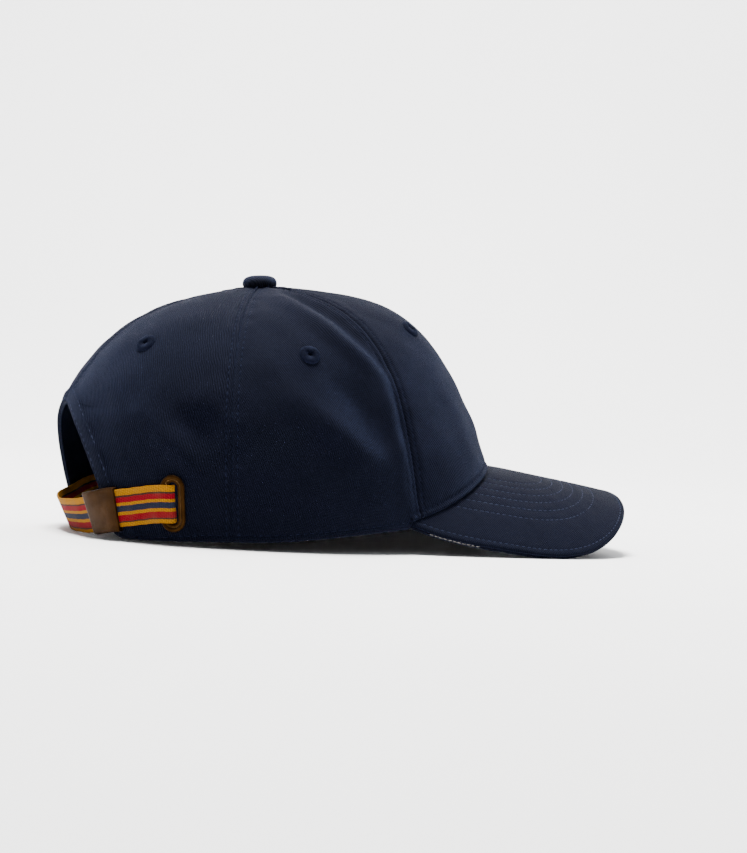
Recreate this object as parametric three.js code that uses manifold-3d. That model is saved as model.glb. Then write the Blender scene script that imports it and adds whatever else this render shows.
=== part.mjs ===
// A baseball cap: six cloth panels under a covered button, a curved peak with an upper and a lower cover,
// and an arched opening at the back, closed by a striped strap with a brass buckle and a tuck-in grommet.
// Millimetres, +X to the front, +Y to the wearer's left, +Z up. The cap stands on z = 0 as on a table.
import * as THREE from "three";
import { mergeVertices } from "three/addons/utils/BufferGeometryUtils.js";
import Module from "manifold-3d";

const wasm = await Module();
wasm.setup();

// Crown: reaches are taken from the button's axis to the outside of the cloth at the rim
const CROWN_FRONT_REACH = 110;
const CROWN_BACK_REACH = 95.4;
const CROWN_HALF_WIDTH = 86.8;
const CROWN_HEIGHT = 115.2;
const CROWN_SQUARENESS = 2.13;
const CLOTH = 1.6;
const PANEL_PUFF = 1.2;
const FRONT_SEAM_ANGLE = 56.1;
const REAR_SEAM_ANGLE = 115.3;
const REAR_SEAM_SWING = 2.3;
const SEAM_GAP = 0.3;

// Peak
const PEAK_LENGTH = 70.2;
const PEAK_HALF_WIDTH = 85.3;
const PEAK_HALF_ANGLE = 60.5;
const PEAK_ROOT_HEIGHT = 26.8;
const PEAK_SLOPE = 13;
const PEAK_ARCH_DROP = 38.8;
const PEAK_ARCH_POWER = 2.6;
const PEAK_BOW = 1.7;
const PEAK_ROUNDNESS = 2.5;
const PEAK_WIDEST_BEHIND_ROOT = 10.5;
const PEAK_ROUND_SHARE = 0.74;
const PEAK_CORNER_POWER = 3.4;
const PEAK_UPPER_COVER = 1.7;
const PEAK_LOWER_COVER = 1.2;
const PEAK_TUCK = 1.2;

// Opening at the back, its top and sides measured over the rim
const OPENING_HALF_WIDTH = 44;
const OPENING_HEIGHT = 61;
const OPENING_ROUNDNESS = 1.75;
const OPENING_CORNER_RADIUS = 5;
const OPENING_LIP_FLARE = 2.4;
const OPENING_LIP_DEPTH = 11;

// Button and eyelets
const BUTTON_RADIUS = 8.2;
const BUTTON_HEIGHT = 5.9;
const BUTTON_STEM_RADIUS = 2.6;
const EYELET_RADIUS = 4.8;
const EYELET_RISE = 1;
const EYELET_HOLE_RADIUS = 1.1;
const EYELET_BARREL_RADIUS = 2.6;
const EYELET_PANEL_SHARE = 0.54;

// Strap, buckle and grommet: bearings are taken from the back of the cap, positive to the wearer's right
const STRAP_WIDTH = 17;
const STRAP_THICKNESS = 1;
const STRAP_REST = 0.4;
const GROMMET_BEARING = 48.3;
const GROMMET_LIFT = 18;
const GROMMET_WIDTH = 11.4;
const GROMMET_LENGTH = 25.6;
const GROMMET_BAND = 3.4;
const GROMMET_RISE = 1.1;
const STRAP_TAIL = 15;
const STRAP_ANCHOR_BEARING = 52;
const BUCKLE_BEARING = 26.6;
const BUCKLE_LENGTH = 18.5;
const BUCKLE_WIDTH = 20;
const BUCKLE_PLATE = 0.8;
const BUCKLE_CLEARANCE = 0.4;
const LOOP_LENGTH = 20;
const LOOP_TURN = 0.6;
const LOOP_WIDTH = 10;
const LOOP_THICKNESS = 1.1;
const LOOP_BEND_START = 0.7;

// The rim is pressed flat by this much where the cap stands on it
const PRESS = 0.3;

// Crown sections, evenly spaced along the cloth from the button to the rim:
// how far out and how far down each has come, as shares of the rim's reach and the crown's height
const SECTIONS = [
  { frontOut: 0, frontDown: 0, sideOut: 0, sideDown: 0, backOut: 0, backDown: 0 },
  { frontOut: 0.1, frontDown: 0.004, sideOut: 0.1, sideDown: 0.004, backOut: 0.1, backDown: 0.005 },
  { frontOut: 0.28, frontDown: 0.028, sideOut: 0.28, sideDown: 0.032, backOut: 0.28, backDown: 0.028 },
  { frontOut: 0.45, frontDown: 0.07, sideOut: 0.45, sideDown: 0.08, backOut: 0.45, backDown: 0.066 },
  { frontOut: 0.622, frontDown: 0.165, sideOut: 0.616, sideDown: 0.15, backOut: 0.62, backDown: 0.125 },
  { frontOut: 0.704, frontDown: 0.25, sideOut: 0.746, sideDown: 0.24, backOut: 0.75, backDown: 0.2 },
  { frontOut: 0.771, frontDown: 0.345, sideOut: 0.846, sideDown: 0.345, backOut: 0.86, backDown: 0.295 },
  { frontOut: 0.833, frontDown: 0.47, sideOut: 0.926, sideDown: 0.48, backOut: 0.95, backDown: 0.41 },
  { frontOut: 0.885, frontDown: 0.6, sideOut: 0.97, sideDown: 0.63, backOut: 0.995, backDown: 0.56 },
  { frontOut: 0.942, frontDown: 0.76, sideOut: 0.995, sideDown: 0.8, backOut: 1.01, backDown: 0.76 },
  { frontOut: 1, frontDown: 1, sideOut: 1, sideDown: 1, backOut: 0.985, backDown: 1 },
];

// Height of the rim behind the peak, by angle from the front, as shares of the crown's height
const RIM = [
  { angle: 55, height: 0.026 },
  { angle: 75, height: 0.017 },
  { angle: 105, height: 0.002 },
  { angle: 130, height: 0.01 },
  { angle: 155, height: 0.014 },
  { angle: 180, height: 0.016 },
];

// Folds in the crown, each along a line of three places. Angles are shares of the angle between the front
// and the rear seam, from the front seam back; steps run from the button, 0, to the rim, 1. Height is out of
// the crown, negative for a valley. Side -1 is the wearer's right.
const FOLDS = [
  { side: -1, angles: [0.56, 0.3, 0.09], steps: [0.27, 0.49, 0.64], width: 5.5, height: 1.9 },
  { side: -1, angles: [0.09, 0.085, 0.07], steps: [0.64, 0.78, 0.93], width: 5, height: 1.3 },
  { side: -1, angles: [0.3, 0.13, 0.045], steps: [0.2, 0.4, 0.6], width: 5, height: -2 },
  { side: -1, angles: [0.045, 0.04, 0.01], steps: [0.6, 0.78, 0.96], width: 4.5, height: -1.6 },
  { side: -1, angles: [0.64, 0.45, 0.2], steps: [0.69, 0.78, 0.88], width: 7, height: 1.7 },
  { side: -1, angles: [0.42, 0.3, 0.22], steps: [0.62, 0.7, 0.78], width: 9, height: -1.8 },
  { side: -1, angles: [1.44, 1.25, 1.1], steps: [0.75, 0.82, 0.9], width: 6, height: 1.5 },
  { side: -1, angles: [1.3, 1.17, 1.07], steps: [0.73, 0.77, 0.82], width: 8, height: -1.3 },
  { side: 1, angles: [0.5, 0.28, 0.1], steps: [0.3, 0.5, 0.68], width: 7, height: 1.3 },
  { side: 1, angles: [0.7, 0.5, 0.3], steps: [0.66, 0.77, 0.88], width: 8, height: 1.3 },
  { side: 1, angles: [1.4, 1.24, 1.1], steps: [0.7, 0.8, 0.9], width: 7, height: 1.1 },
];

// The strap's route round the back, by bearing as a share of the grommet's on the wearer's right and of the
// anchor's on the left: height of its middle as a share of the grommet's, lean of its lower edge towards the
// head in degrees, how far it stands off the cloth as a share of its width, and how far it has passed from
// the outside, 0, to the inside of the cloth, 1
const STRAP_ROUTE = [
  { share: 0.93, height: 1, lean: 4, off: 0.06, inside: 0 },
  { share: 0.78, height: 0.92, lean: 4, off: 0.01, inside: 0 },
  { share: 0.62, height: 0.84, lean: 5, off: 0.1, inside: 0 },
  { share: 0.48, height: 0.69, lean: 12, off: 0.12, inside: 0 },
  { share: 0.32, height: 0.595, lean: 18, off: 0.04, inside: 0 },
  { share: 0, height: 0.52, lean: 23, off: -0.04, inside: 0 },
  { share: -0.3, height: 0.6, lean: 17, off: 0, inside: 0.4 },
  { share: -0.5, height: 0.72, lean: 7, off: 0, inside: 1.15 },
  { share: -0.78, height: 0.89, lean: 4, off: 0, inside: 1.15 },
  { share: -1, height: 0.94, lean: 3, off: 0, inside: 1.15 },
];

// How finely the pieces are divided
const PANEL_ROWS = 17;
const FRONT_COLUMNS = 12;
const SIDE_COLUMNS = 16;
const BACK_COLUMNS = 12;
const PEAK_ROWS = 7;
const ROUND_STEPS = 24;
const CORNER_STEPS = 5;
const EYELET_STEPS = 12;
const STRAP_STEPS = 44;
const STRAP_TAIL_STEPS = 3;
const BUCKLE_STEPS = 5;

const NAVY = new THREE.MeshStandardMaterial({ color: 0x1a2338, roughness: 0.9, metalness: 0 });
const NAVY_UNDER = new THREE.MeshStandardMaterial({ color: 0x10141f, roughness: 0.95, metalness: 0 });
const NAVY_THREAD = new THREE.MeshStandardMaterial({ color: 0x202c48, roughness: 0.7, metalness: 0 });
const STRIPED_WEBBING = new THREE.MeshStandardMaterial({ color: 0xc98a2a, roughness: 0.85, metalness: 0 });
const ANTIQUE_BRASS = new THREE.MeshStandardMaterial({ color: 0x7a5c34, roughness: 0.45, metalness: 0.9 });

const rad = THREE.MathUtils.degToRad;
const lerp = THREE.MathUtils.lerp;
const smoothstep = THREE.MathUtils.smoothstep;
const clamp = THREE.MathUtils.clamp;

// A smooth curve through values that never overshoots them (x ascending)
function smoothCurve(xs, ys) {
  const slopes = xs.slice(1).map((x, i) => (ys[i + 1] - ys[i]) / (x - xs[i]));
  const tangents = ys.map((_, i) => {
    const before = slopes[Math.max(i - 1, 0)];
    const after = slopes[Math.min(i, slopes.length - 1)];
    return before * after <= 0 ? 0 : (2 * before * after) / (before + after);
  });
  return (x) => {
    let i = 0;
    while (i < xs.length - 2 && x > xs[i + 1]) i += 1;
    const step = xs[i + 1] - xs[i];
    const t = clamp((x - xs[i]) / step, 0, 1);
    const rise = ys[i + 1] - ys[i];
    const a = tangents[i] * step;
    const b = tangents[i + 1] * step;
    return ys[i] + t * a + t * t * (3 * rise - 2 * a - b) + t * t * t * (a + b - 2 * rise);
  };
}

const sectionSteps = SECTIONS.map((_, i) => i / (SECTIONS.length - 1));
const sectionCurve = (column) => smoothCurve(sectionSteps, SECTIONS.map((row) => row[column]));
const frontOut = sectionCurve("frontOut");
const frontDown = sectionCurve("frontDown");
const sideOut = sectionCurve("sideOut");
const sideDown = sectionCurve("sideDown");
const backOut = sectionCurve("backOut");
const backDown = sectionCurve("backDown");
const rimShare = smoothCurve(RIM.map((row) => row.angle), RIM.map((row) => row.height));
const sideRimHeight = (angle) => CROWN_HEIGHT * rimShare(Math.abs(angle));

// Reach of the rim from the button's axis at an angle in degrees from the front, positive to the left
function rimReach(angle) {
  const along = Math.cos(rad(angle));
  const across = Math.sin(rad(angle));
  const length = along > 0 ? CROWN_FRONT_REACH : CROWN_BACK_REACH;
  const lengthwise = Math.abs(along / length) ** CROWN_SQUARENESS;
  const crosswise = Math.abs(across / CROWN_HALF_WIDTH) ** CROWN_SQUARENESS;
  return (lengthwise + crosswise) ** (-1 / CROWN_SQUARENESS);
}

// Height of the peak's upper face over a place in plan
function peakHeight(x, y) {
  const ahead = x - CROWN_FRONT_REACH;
  const run = ahead / PEAK_LENGTH;
  const arch = PEAK_ARCH_DROP * (Math.abs(y) / PEAK_HALF_WIDTH) ** PEAK_ARCH_POWER;
  return PEAK_ROOT_HEIGHT - ahead * Math.tan(rad(PEAK_SLOPE)) + PEAK_BOW * run * (1 - run) - arch;
}

function peakHeightAtRim(angle) {
  const reach = rimReach(angle);
  return peakHeight(reach * Math.cos(rad(angle)), reach * Math.sin(rad(angle)));
}

// The crown's smooth lower limit, and the line where its cloth is trimmed: on the peak, or at the rim behind
const BLEND_BEFORE_CORNER = 10;
const BLEND_BEHIND_CORNER = 15;
const CORNER_CLEARANCE = 0.4;
const RIM_STEP_RUN = 3;

function foldLine(angle) {
  const blendFrom = PEAK_HALF_ANGLE - BLEND_BEFORE_CORNER;
  const behind = smoothstep(Math.abs(angle), blendFrom, PEAK_HALF_ANGLE + BLEND_BEHIND_CORNER);
  if (behind === 1) return sideRimHeight(angle);
  return lerp(peakHeightAtRim(angle), sideRimHeight(angle), behind);
}

function trimLine(angle) {
  const away = Math.abs(angle);
  const start = PEAK_HALF_ANGLE + CORNER_CLEARANCE;
  if (away <= start) return peakHeightAtRim(angle) + SEAM_GAP;
  const seated = peakHeightAtRim(start) + SEAM_GAP;
  return lerp(seated, sideRimHeight(angle), smoothstep(away, start, start + RIM_STEP_RUN));
}

// The crown's surface before it is dented: angle from the front, step from the button, 0, to the rim, 1
const TRIM_FADE = 0.8;
const SECTION_BLEND_POWER = 1.5;

function smoothCrown(angle, step) {
  const along = Math.cos(rad(angle));
  const front = Math.max(along, 0) ** SECTION_BLEND_POWER;
  const back = Math.max(-along, 0) ** SECTION_BLEND_POWER;
  const side = 1 - front - back;
  const out = front * frontOut(step) + side * sideOut(step) + back * backOut(step);
  const down = front * frontDown(step) + side * sideDown(step) + back * backDown(step);
  const base = foldLine(angle);
  const trim = (trimLine(angle) - base) * smoothstep(step, TRIM_FADE, 1);
  const reach = rimReach(angle) * out;
  return new THREE.Vector3(
    reach * along,
    reach * Math.sin(rad(angle)),
    base + (CROWN_HEIGHT - base) * (1 - down) + trim,
  );
}

// Half the opening's width at a height over the rim, 0 above its top
function openingHalfWidth(height) {
  const share = clamp(height / OPENING_HEIGHT, 0, 1);
  return OPENING_HALF_WIDTH * (1 - share ** OPENING_ROUNDNESS) ** (1 / OPENING_ROUNDNESS);
}

// How far the cloth turns out towards the top of the opening
function lipFlare(point) {
  if (point.x > 0) return 0;
  const across = Math.abs(point.y) / OPENING_HALF_WIDTH;
  const up = Math.max(point.z, 0) / OPENING_HEIGHT;
  const edge = (across ** OPENING_ROUNDNESS + up ** OPENING_ROUNDNESS) ** (1 / OPENING_ROUNDNESS);
  const fromEdge = Math.max(edge - 1, 0) * OPENING_HEIGHT;
  return OPENING_LIP_FLARE * Math.exp(-((fromEdge / OPENING_LIP_DEPTH) ** 2)) * smoothstep(up, 0.3, 1);
}

// Length of cloth from the button to the rim, near enough to measure folds by
const PANEL_RUN = 0.87 * (CROWN_HALF_WIDTH + CROWN_HEIGHT);
const FOLD_END_SHARE = 0.35;

// Nearest distance from a place to a fold's line, in mm, and how far along the line it falls
function alongFold(fold, share, step, millimetresPerShare) {
  let best = { distance: Infinity, along: 0 };
  for (let i = 0; i < fold.angles.length - 1; i += 1) {
    const runX = (fold.angles[i + 1] - fold.angles[i]) * millimetresPerShare;
    const runY = (fold.steps[i + 1] - fold.steps[i]) * PANEL_RUN;
    const x = (share - fold.angles[i]) * millimetresPerShare;
    const y = (step - fold.steps[i]) * PANEL_RUN;
    const t = clamp((x * runX + y * runY) / (runX ** 2 + runY ** 2), 0, 1);
    const distance = Math.hypot(x - t * runX, y - t * runY);
    if (distance < best.distance) best = { distance, along: (i + t) / (fold.angles.length - 1) };
  }
  return best;
}

function foldHeight(angle, step) {
  const betweenSeams = REAR_SEAM_ANGLE - FRONT_SEAM_ANGLE;
  const share = (Math.abs(angle) - FRONT_SEAM_ANGLE) / betweenSeams;
  const millimetresPerShare = rad(betweenSeams) * rimReach(angle) * sideOut(step);
  let height = 0;
  for (const fold of FOLDS) {
    if (fold.side * angle < 0) continue;
    const { distance, along } = alongFold(fold, share, step, millimetresPerShare);
    const across = Math.exp(-((distance / fold.width) ** 2));
    height += fold.height * across * lerp(FOLD_END_SHARE, 1, Math.sin(Math.PI * along));
  }
  return height;
}

// Where seams run, in degrees from the front
const SWING_END = 0.6;
const rearSeam = (step) => REAR_SEAM_ANGLE - REAR_SEAM_SWING * Math.max(1 - step / SWING_END, 0) ** 2;
const PANELS = [
  { name: "front", from: () => 0, to: () => FRONT_SEAM_ANGLE, columns: FRONT_COLUMNS, eyeletStep: 0.478 },
  { name: "side", from: () => FRONT_SEAM_ANGLE, to: rearSeam, columns: SIDE_COLUMNS, eyeletStep: 0.55 },
  { name: "back", from: rearSeam, to: () => 180, columns: BACK_COLUMNS, eyeletStep: 0.532 },
];
const SIDES = [
  { name: "right", sign: -1 },
  { name: "left", sign: 1 },
];

// The crown as sewn: each panel puffs out between its seams, and the folds and the lip stand out of it
const CROWN_CENTRE_SHARE = 0.17;
const PUFF_START = 0.3;

function crownAt(angle, step) {
  const away = Math.abs(angle);
  const panel = PANELS.find((row) => away <= row.to(step)) ?? PANELS.at(-1);
  const share = clamp((away - panel.from(step)) / (panel.to(step) - panel.from(step)), 0, 1);
  const puff = PANEL_PUFF * Math.sin(Math.PI * share) * smoothstep(step, 0, PUFF_START);
  const point = smoothCrown(angle, step);
  const outwards = point.clone();
  outwards.z -= CROWN_HEIGHT * CROWN_CENTRE_SHARE;
  outwards.normalize();
  return point.addScaledVector(outwards, puff + foldHeight(angle, step) + lipFlare(point));
}

// Outward normal of the crown, taken inside one panel
const NORMAL_REACH = 0.004;

function crownNormal(angle, step, fromAngle, toAngle) {
  const turn = NORMAL_REACH * 90;
  const left = crownAt(Math.min(angle + turn, toAngle), step);
  const right = crownAt(Math.max(angle - turn, fromAngle), step);
  const lower = crownAt(angle, Math.min(step + NORMAL_REACH, 1));
  const upper = crownAt(angle, Math.max(step - NORMAL_REACH, 0));
  return lower.sub(upper).cross(left.sub(right)).normalize();
}

// The step from which a test of the cloth holds on, all the way to the rim
const HALVINGS = 24;

function findStep(test) {
  let before = 0;
  let after = 1;
  for (let i = 0; i < HALVINGS; i += 1) {
    const middle = (before + after) / 2;
    if (test(middle)) after = middle;
    else before = middle;
  }
  return (before + after) / 2;
}

// Geometry from points and faces, and to and from the solids that are cut
function geometryOf(points, faces) {
  const geometry = new THREE.BufferGeometry();
  const places = points.flatMap((p) => [p.x, p.y, p.z]);
  geometry.setAttribute("position", new THREE.Float32BufferAttribute(places, 3));
  geometry.setIndex(faces.flat());
  return geometry;
}

function solidOf(geometry) {
  const bare = geometry.clone();
  bare.deleteAttribute("normal");
  bare.deleteAttribute("uv");
  const merged = mergeVertices(bare, 1e-4);
  const mesh = new wasm.Mesh({
    numProp: 3,
    vertProperties: new Float32Array(merged.attributes.position.array),
    triVerts: new Uint32Array(merged.index.array),
  });
  return new wasm.Manifold(mesh);
}

function geometryFrom(solid) {
  const mesh = solid.getMesh();
  const geometry = new THREE.BufferGeometry();
  geometry.setAttribute("position", new THREE.BufferAttribute(mesh.vertProperties, 3));
  geometry.setIndex(new THREE.BufferAttribute(mesh.triVerts, 1));
  return geometry;
}

function cut(geometry, tools) {
  return geometryFrom(tools.reduce((solid, tool) => solid.subtract(solidOf(tool)), solidOf(geometry)));
}

// A closed sheet from an outer and an inner grid of the same columns and rows
function sheet(outer, inner) {
  const columns = outer.length;
  const rows = outer[0].length;
  const half = columns * rows;
  const at = (i, j) => i * rows + j;
  const faces = [];
  const quad = (a, b, c, d) => faces.push([a, b, c], [a, c, d]);
  for (let i = 0; i < columns - 1; i += 1) {
    for (let j = 0; j < rows - 1; j += 1) {
      quad(at(i, j), at(i, j + 1), at(i + 1, j + 1), at(i + 1, j));
      quad(half + at(i, j), half + at(i + 1, j), half + at(i + 1, j + 1), half + at(i, j + 1));
    }
    quad(at(i + 1, 0), half + at(i + 1, 0), half + at(i, 0), at(i, 0));
    quad(at(i, rows - 1), half + at(i, rows - 1), half + at(i + 1, rows - 1), at(i + 1, rows - 1));
  }
  const last = columns - 1;
  for (let j = 0; j < rows - 1; j += 1) {
    quad(at(0, j), half + at(0, j), half + at(0, j + 1), at(0, j + 1));
    quad(at(last, j + 1), half + at(last, j + 1), half + at(last, j), at(last, j));
  }
  return geometryOf([...outer.flat(), ...inner.flat()], faces);
}

// A closed bar: a ring of points at each station, with flat ends, or joined round when it is a loop
function sweep(rings, isLoop) {
  const size = rings[0].length;
  const count = rings.length;
  const faces = [];
  const spans = isLoop ? count : count - 1;
  for (let i = 0; i < spans; i += 1) {
    const next = (i + 1) % count;
    for (let k = 0; k < size; k += 1) {
      const turn = (k + 1) % size;
      const [a, b, c, d] = [i * size + k, i * size + turn, next * size + turn, next * size + k];
      faces.push([a, b, c], [a, c, d]);
    }
  }
  if (!isLoop) {
    const last = (count - 1) * size;
    for (let k = 1; k < size - 1; k += 1) {
      faces.push([0, k + 1, k], [last, last + k, last + k + 1]);
    }
  }
  return geometryOf(rings.flat(), faces);
}

// A panel's columns: even, but the side panel has its own where the rim steps down behind the peak
function columnShares(panel) {
  const evenly = (count) => Array.from({ length: count }, (_, i) => (i + 1) / count);
  if (panel.name !== "side") return [0, ...evenly(panel.columns)];
  const width = REAR_SEAM_ANGLE - FRONT_SEAM_ANGLE;
  const seated = (PEAK_HALF_ANGLE + CORNER_CLEARANCE - FRONT_SEAM_ANGLE) / width;
  const stepped = seated + RIM_STEP_RUN / width;
  const own = [0, seated / 2, seated, (seated + stepped) / 2, stepped];
  const others = evenly(panel.columns + 1 - own.length);
  return [...own, ...others.map((share) => lerp(stepped, 1, share))];
}

function panelGeometry(panel, sign) {
  const topHole = BUTTON_STEM_RADIUS + SEAM_GAP;
  const outer = [];
  const inner = [];
  for (const share of columnShares(panel)) {
    const middle = lerp(panel.from(0), panel.to(0), share);
    const top = findStep((step) => rimReach(middle) * sideOut(step) > topHole);
    const outerColumn = [];
    const innerColumn = [];
    for (let j = 0; j <= PANEL_ROWS; j += 1) {
      const step = lerp(top, 1, j / PANEL_ROWS);
      const from = panel.from(step);
      const to = panel.to(step);
      const reach = rimReach(middle) * sideOut(step);
      const seam = THREE.MathUtils.radToDeg(Math.asin(SEAM_GAP / 2 / reach));
      const away = lerp(from + seam, to - seam, share);
      const angle = sign * away;
      const point = crownAt(angle, step);
      const [fromAngle, toAngle] = sign > 0 ? [from, to] : [-to, -from];
      const back = crownNormal(angle, step, fromAngle, toAngle).multiplyScalar(-CLOTH).add(point);
      const isOverPeak = away < PEAK_HALF_ANGLE + CORNER_CLEARANCE + RIM_STEP_RUN / 4;
      if (j === PANEL_ROWS && isOverPeak) {
        point.z = peakHeight(point.x, point.y) + SEAM_GAP;
        back.z = peakHeight(back.x, back.y) + SEAM_GAP;
      }
      outerColumn.push(point);
      innerColumn.push(back);
    }
    outer.push(outerColumn);
    inner.push(innerColumn);
  }
  if (sign < 0) {
    outer.reverse();
    inner.reverse();
  }
  return sheet(outer, inner);
}

// The opening as a block that cuts through the back panels from behind
function openingCutter() {
  const corner = OPENING_CORNER_RADIUS;
  const rim = sideRimHeight(180);
  const shape = new THREE.Shape();
  const wide = OPENING_HALF_WIDTH + corner;
  shape.moveTo(-wide, rim - 2 * corner);
  shape.lineTo(wide, rim - 2 * corner);
  shape.lineTo(wide, rim);
  shape.absarc(wide, rim + corner, corner, -Math.PI / 2, -Math.PI, true);
  const right = [];
  for (let i = 1; i <= ROUND_STEPS / 2; i += 1) {
    const height = OPENING_HEIGHT * Math.sin((Math.PI * i) / ROUND_STEPS);
    if (height > rim + corner) right.push([openingHalfWidth(height), height]);
  }
  right.forEach(([across, height]) => shape.lineTo(across, height));
  right.slice(0, -1).reverse().forEach(([across, height]) => shape.lineTo(-across, height));
  shape.absarc(-wide, rim + corner, corner, 0, -Math.PI / 2, true);
  const settings = { depth: CROWN_BACK_REACH, bevelEnabled: false, curveSegments: CORNER_STEPS };
  const block = new THREE.ExtrudeGeometry(shape, settings);
  const turn = new THREE.Matrix4().makeBasis(
    new THREE.Vector3(0, -1, 0),
    new THREE.Vector3(0, 0, 1),
    new THREE.Vector3(-1, 0, 0),
  );
  return block.applyMatrix4(turn).translate(-CROWN_BACK_REACH / 3, 0, 0);
}

// A local frame on the crown: x along the rim to the front, y up the cloth, z out of it
function crownFrame(angle, step) {
  const outwards = crownNormal(angle, step, angle - 1, angle + 1);
  const towardsFront = new THREE.Vector3(0, 0, 1).cross(outwards).normalize();
  if (angle > 0) towardsFront.negate();
  const up = outwards.clone().cross(towardsFront);
  return new THREE.Matrix4().makeBasis(towardsFront, up, outwards).setPosition(crownAt(angle, step));
}

// Eyelets: an embroidered ring with a barrel that lines the hole in the cloth
function eyeletPlaces() {
  return PANELS.flatMap((panel) =>
    SIDES.map((side) => {
      const step = panel.eyeletStep;
      const angle = side.sign * lerp(panel.from(step), panel.to(step), EYELET_PANEL_SHARE);
      return { name: `${panel.name}_${side.name}`, frame: crownFrame(angle, step) };
    }),
  );
}

function lathe(profile, steps) {
  const points = profile.map(([radius, height]) => new THREE.Vector2(radius, height));
  const turned = new THREE.LatheGeometry(points, steps);
  return turned.rotateX(Math.PI / 2);
}

function eyeletGeometry(frame) {
  const seat = SEAM_GAP;
  const top = seat + EYELET_RISE;
  const shoulder = EYELET_RADIUS * 0.82;
  const throat = EYELET_HOLE_RADIUS + (EYELET_BARREL_RADIUS - EYELET_HOLE_RADIUS) / 2;
  const profile = [
    [EYELET_HOLE_RADIUS, -CLOTH],
    [EYELET_BARREL_RADIUS, -CLOTH],
    [EYELET_BARREL_RADIUS, seat],
    [EYELET_RADIUS, seat],
    [EYELET_RADIUS, seat + EYELET_RISE / 2],
    [shoulder, top],
    [throat, top],
    [EYELET_HOLE_RADIUS, seat + EYELET_RISE / 2],
    [EYELET_HOLE_RADIUS, -CLOTH],
  ];
  return lathe(profile, EYELET_STEPS).applyMatrix4(frame);
}

function eyeletHole(frame) {
  const radius = EYELET_BARREL_RADIUS + SEAM_GAP;
  const drill = new THREE.CylinderGeometry(radius, radius, 6 * CLOTH, EYELET_STEPS);
  return drill.rotateX(Math.PI / 2).applyMatrix4(frame);
}

// Button: a cloth-covered dome whose stem goes down through the meeting of the panels
const BUTTON_DOME = [
  { out: 0.93, up: 0 },
  { out: 1, up: 0.28 },
  { out: 0.97, up: 0.6 },
  { out: 0.8, up: 0.84 },
  { out: 0.45, up: 0.97 },
  { out: 0, up: 1 },
];

function buttonGeometry() {
  const base = CROWN_HEIGHT + SEAM_GAP;
  const foot = base - CLOTH - 2 * SEAM_GAP;
  const dome = BUTTON_DOME.map(({ out, up }) => [BUTTON_RADIUS * out, base + BUTTON_HEIGHT * up]);
  return lathe([[0, foot], [BUTTON_STEM_RADIUS, foot], [BUTTON_STEM_RADIUS, base], ...dome], ROUND_STEPS);
}

// The peak's outline in plan, from the tip to the corner at one side
function peakOutline(share) {
  const cornerReach = rimReach(PEAK_HALF_ANGLE);
  const corner = [cornerReach * Math.cos(rad(PEAK_HALF_ANGLE)), cornerReach * Math.sin(rad(PEAK_HALF_ANGLE))];
  const widest = CROWN_FRONT_REACH - PEAK_WIDEST_BEHIND_ROOT;
  const tip = CROWN_FRONT_REACH + PEAK_LENGTH;
  if (share <= PEAK_ROUND_SHARE) {
    const turn = (Math.PI / 2) * (share / PEAK_ROUND_SHARE);
    const power = 2 / PEAK_ROUNDNESS;
    return [
      widest + (tip - widest) * Math.max(Math.cos(turn), 0) ** power,
      PEAK_HALF_WIDTH * Math.sin(turn) ** power,
    ];
  }
  const behind = (share - PEAK_ROUND_SHARE) / (1 - PEAK_ROUND_SHARE);
  const narrowing = (PEAK_HALF_WIDTH - corner[1]) * behind ** PEAK_CORNER_POWER;
  return [lerp(widest, corner[0], behind), PEAK_HALF_WIDTH - narrowing];
}

function peakNormal(x, y) {
  const reach = 0.5;
  const alongX = new THREE.Vector3(2 * reach, 0, peakHeight(x + reach, y) - peakHeight(x - reach, y));
  const alongY = new THREE.Vector3(0, 2 * reach, peakHeight(x, y + reach) - peakHeight(x, y - reach));
  return alongX.cross(alongY).normalize();
}

// The peak between two depths under its upper face. Its root runs under the crown's cloth.
function peakGeometry(depthFrom, depthTo) {
  const halfAngles = [];
  for (let i = 0; i <= FRONT_COLUMNS; i += 1) halfAngles.push((FRONT_SEAM_ANGLE * i) / FRONT_COLUMNS);
  halfAngles.push((FRONT_SEAM_ANGLE + PEAK_HALF_ANGLE) / 2, PEAK_HALF_ANGLE);
  const angles = [...halfAngles.slice(1).reverse().map((angle) => -angle), ...halfAngles];
  const upper = [];
  const lower = [];
  for (const angle of angles) {
    const reach = rimReach(angle);
    const rootReach = reach - CLOTH - PEAK_TUCK;
    const along = Math.cos(rad(angle));
    const across = Math.sin(rad(angle));
    const [tipX, tipY] = peakOutline(Math.abs(angle) / PEAK_HALF_ANGLE);
    const edge = [tipX, Math.sign(angle) * tipY];
    const upperRow = [];
    const lowerRow = [];
    for (let j = 0; j <= PEAK_ROWS; j += 1) {
      const run = Math.max(j - 1, 0) / (PEAK_ROWS - 1);
      const start = j === 0 ? rootReach : reach;
      const x = lerp(start * along, edge[0], run);
      const y = lerp(start * across, edge[1], run);
      const surface = new THREE.Vector3(x, y, peakHeight(x, y));
      const normal = peakNormal(x, y);
      upperRow.push(surface.clone().addScaledVector(normal, -depthFrom));
      lowerRow.push(surface.clone().addScaledVector(normal, -depthTo));
    }
    upper.push(upperRow);
    lower.push(lowerRow);
  }
  return sheet(upper, lower);
}

// Grommet: a rolled brass rim that lines a slot in the right back panel, up and down the cloth
const strapAngle = (bearing) => (bearing >= 0 ? bearing - 180 : bearing + 180);
const stepAtHeight = (angle, height) => findStep((step) => smoothCrown(angle, step).z < height);

function grommetFrame() {
  const angle = strapAngle(GROMMET_BEARING);
  return crownFrame(angle, stepAtHeight(angle, GROMMET_LIFT));
}

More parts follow.
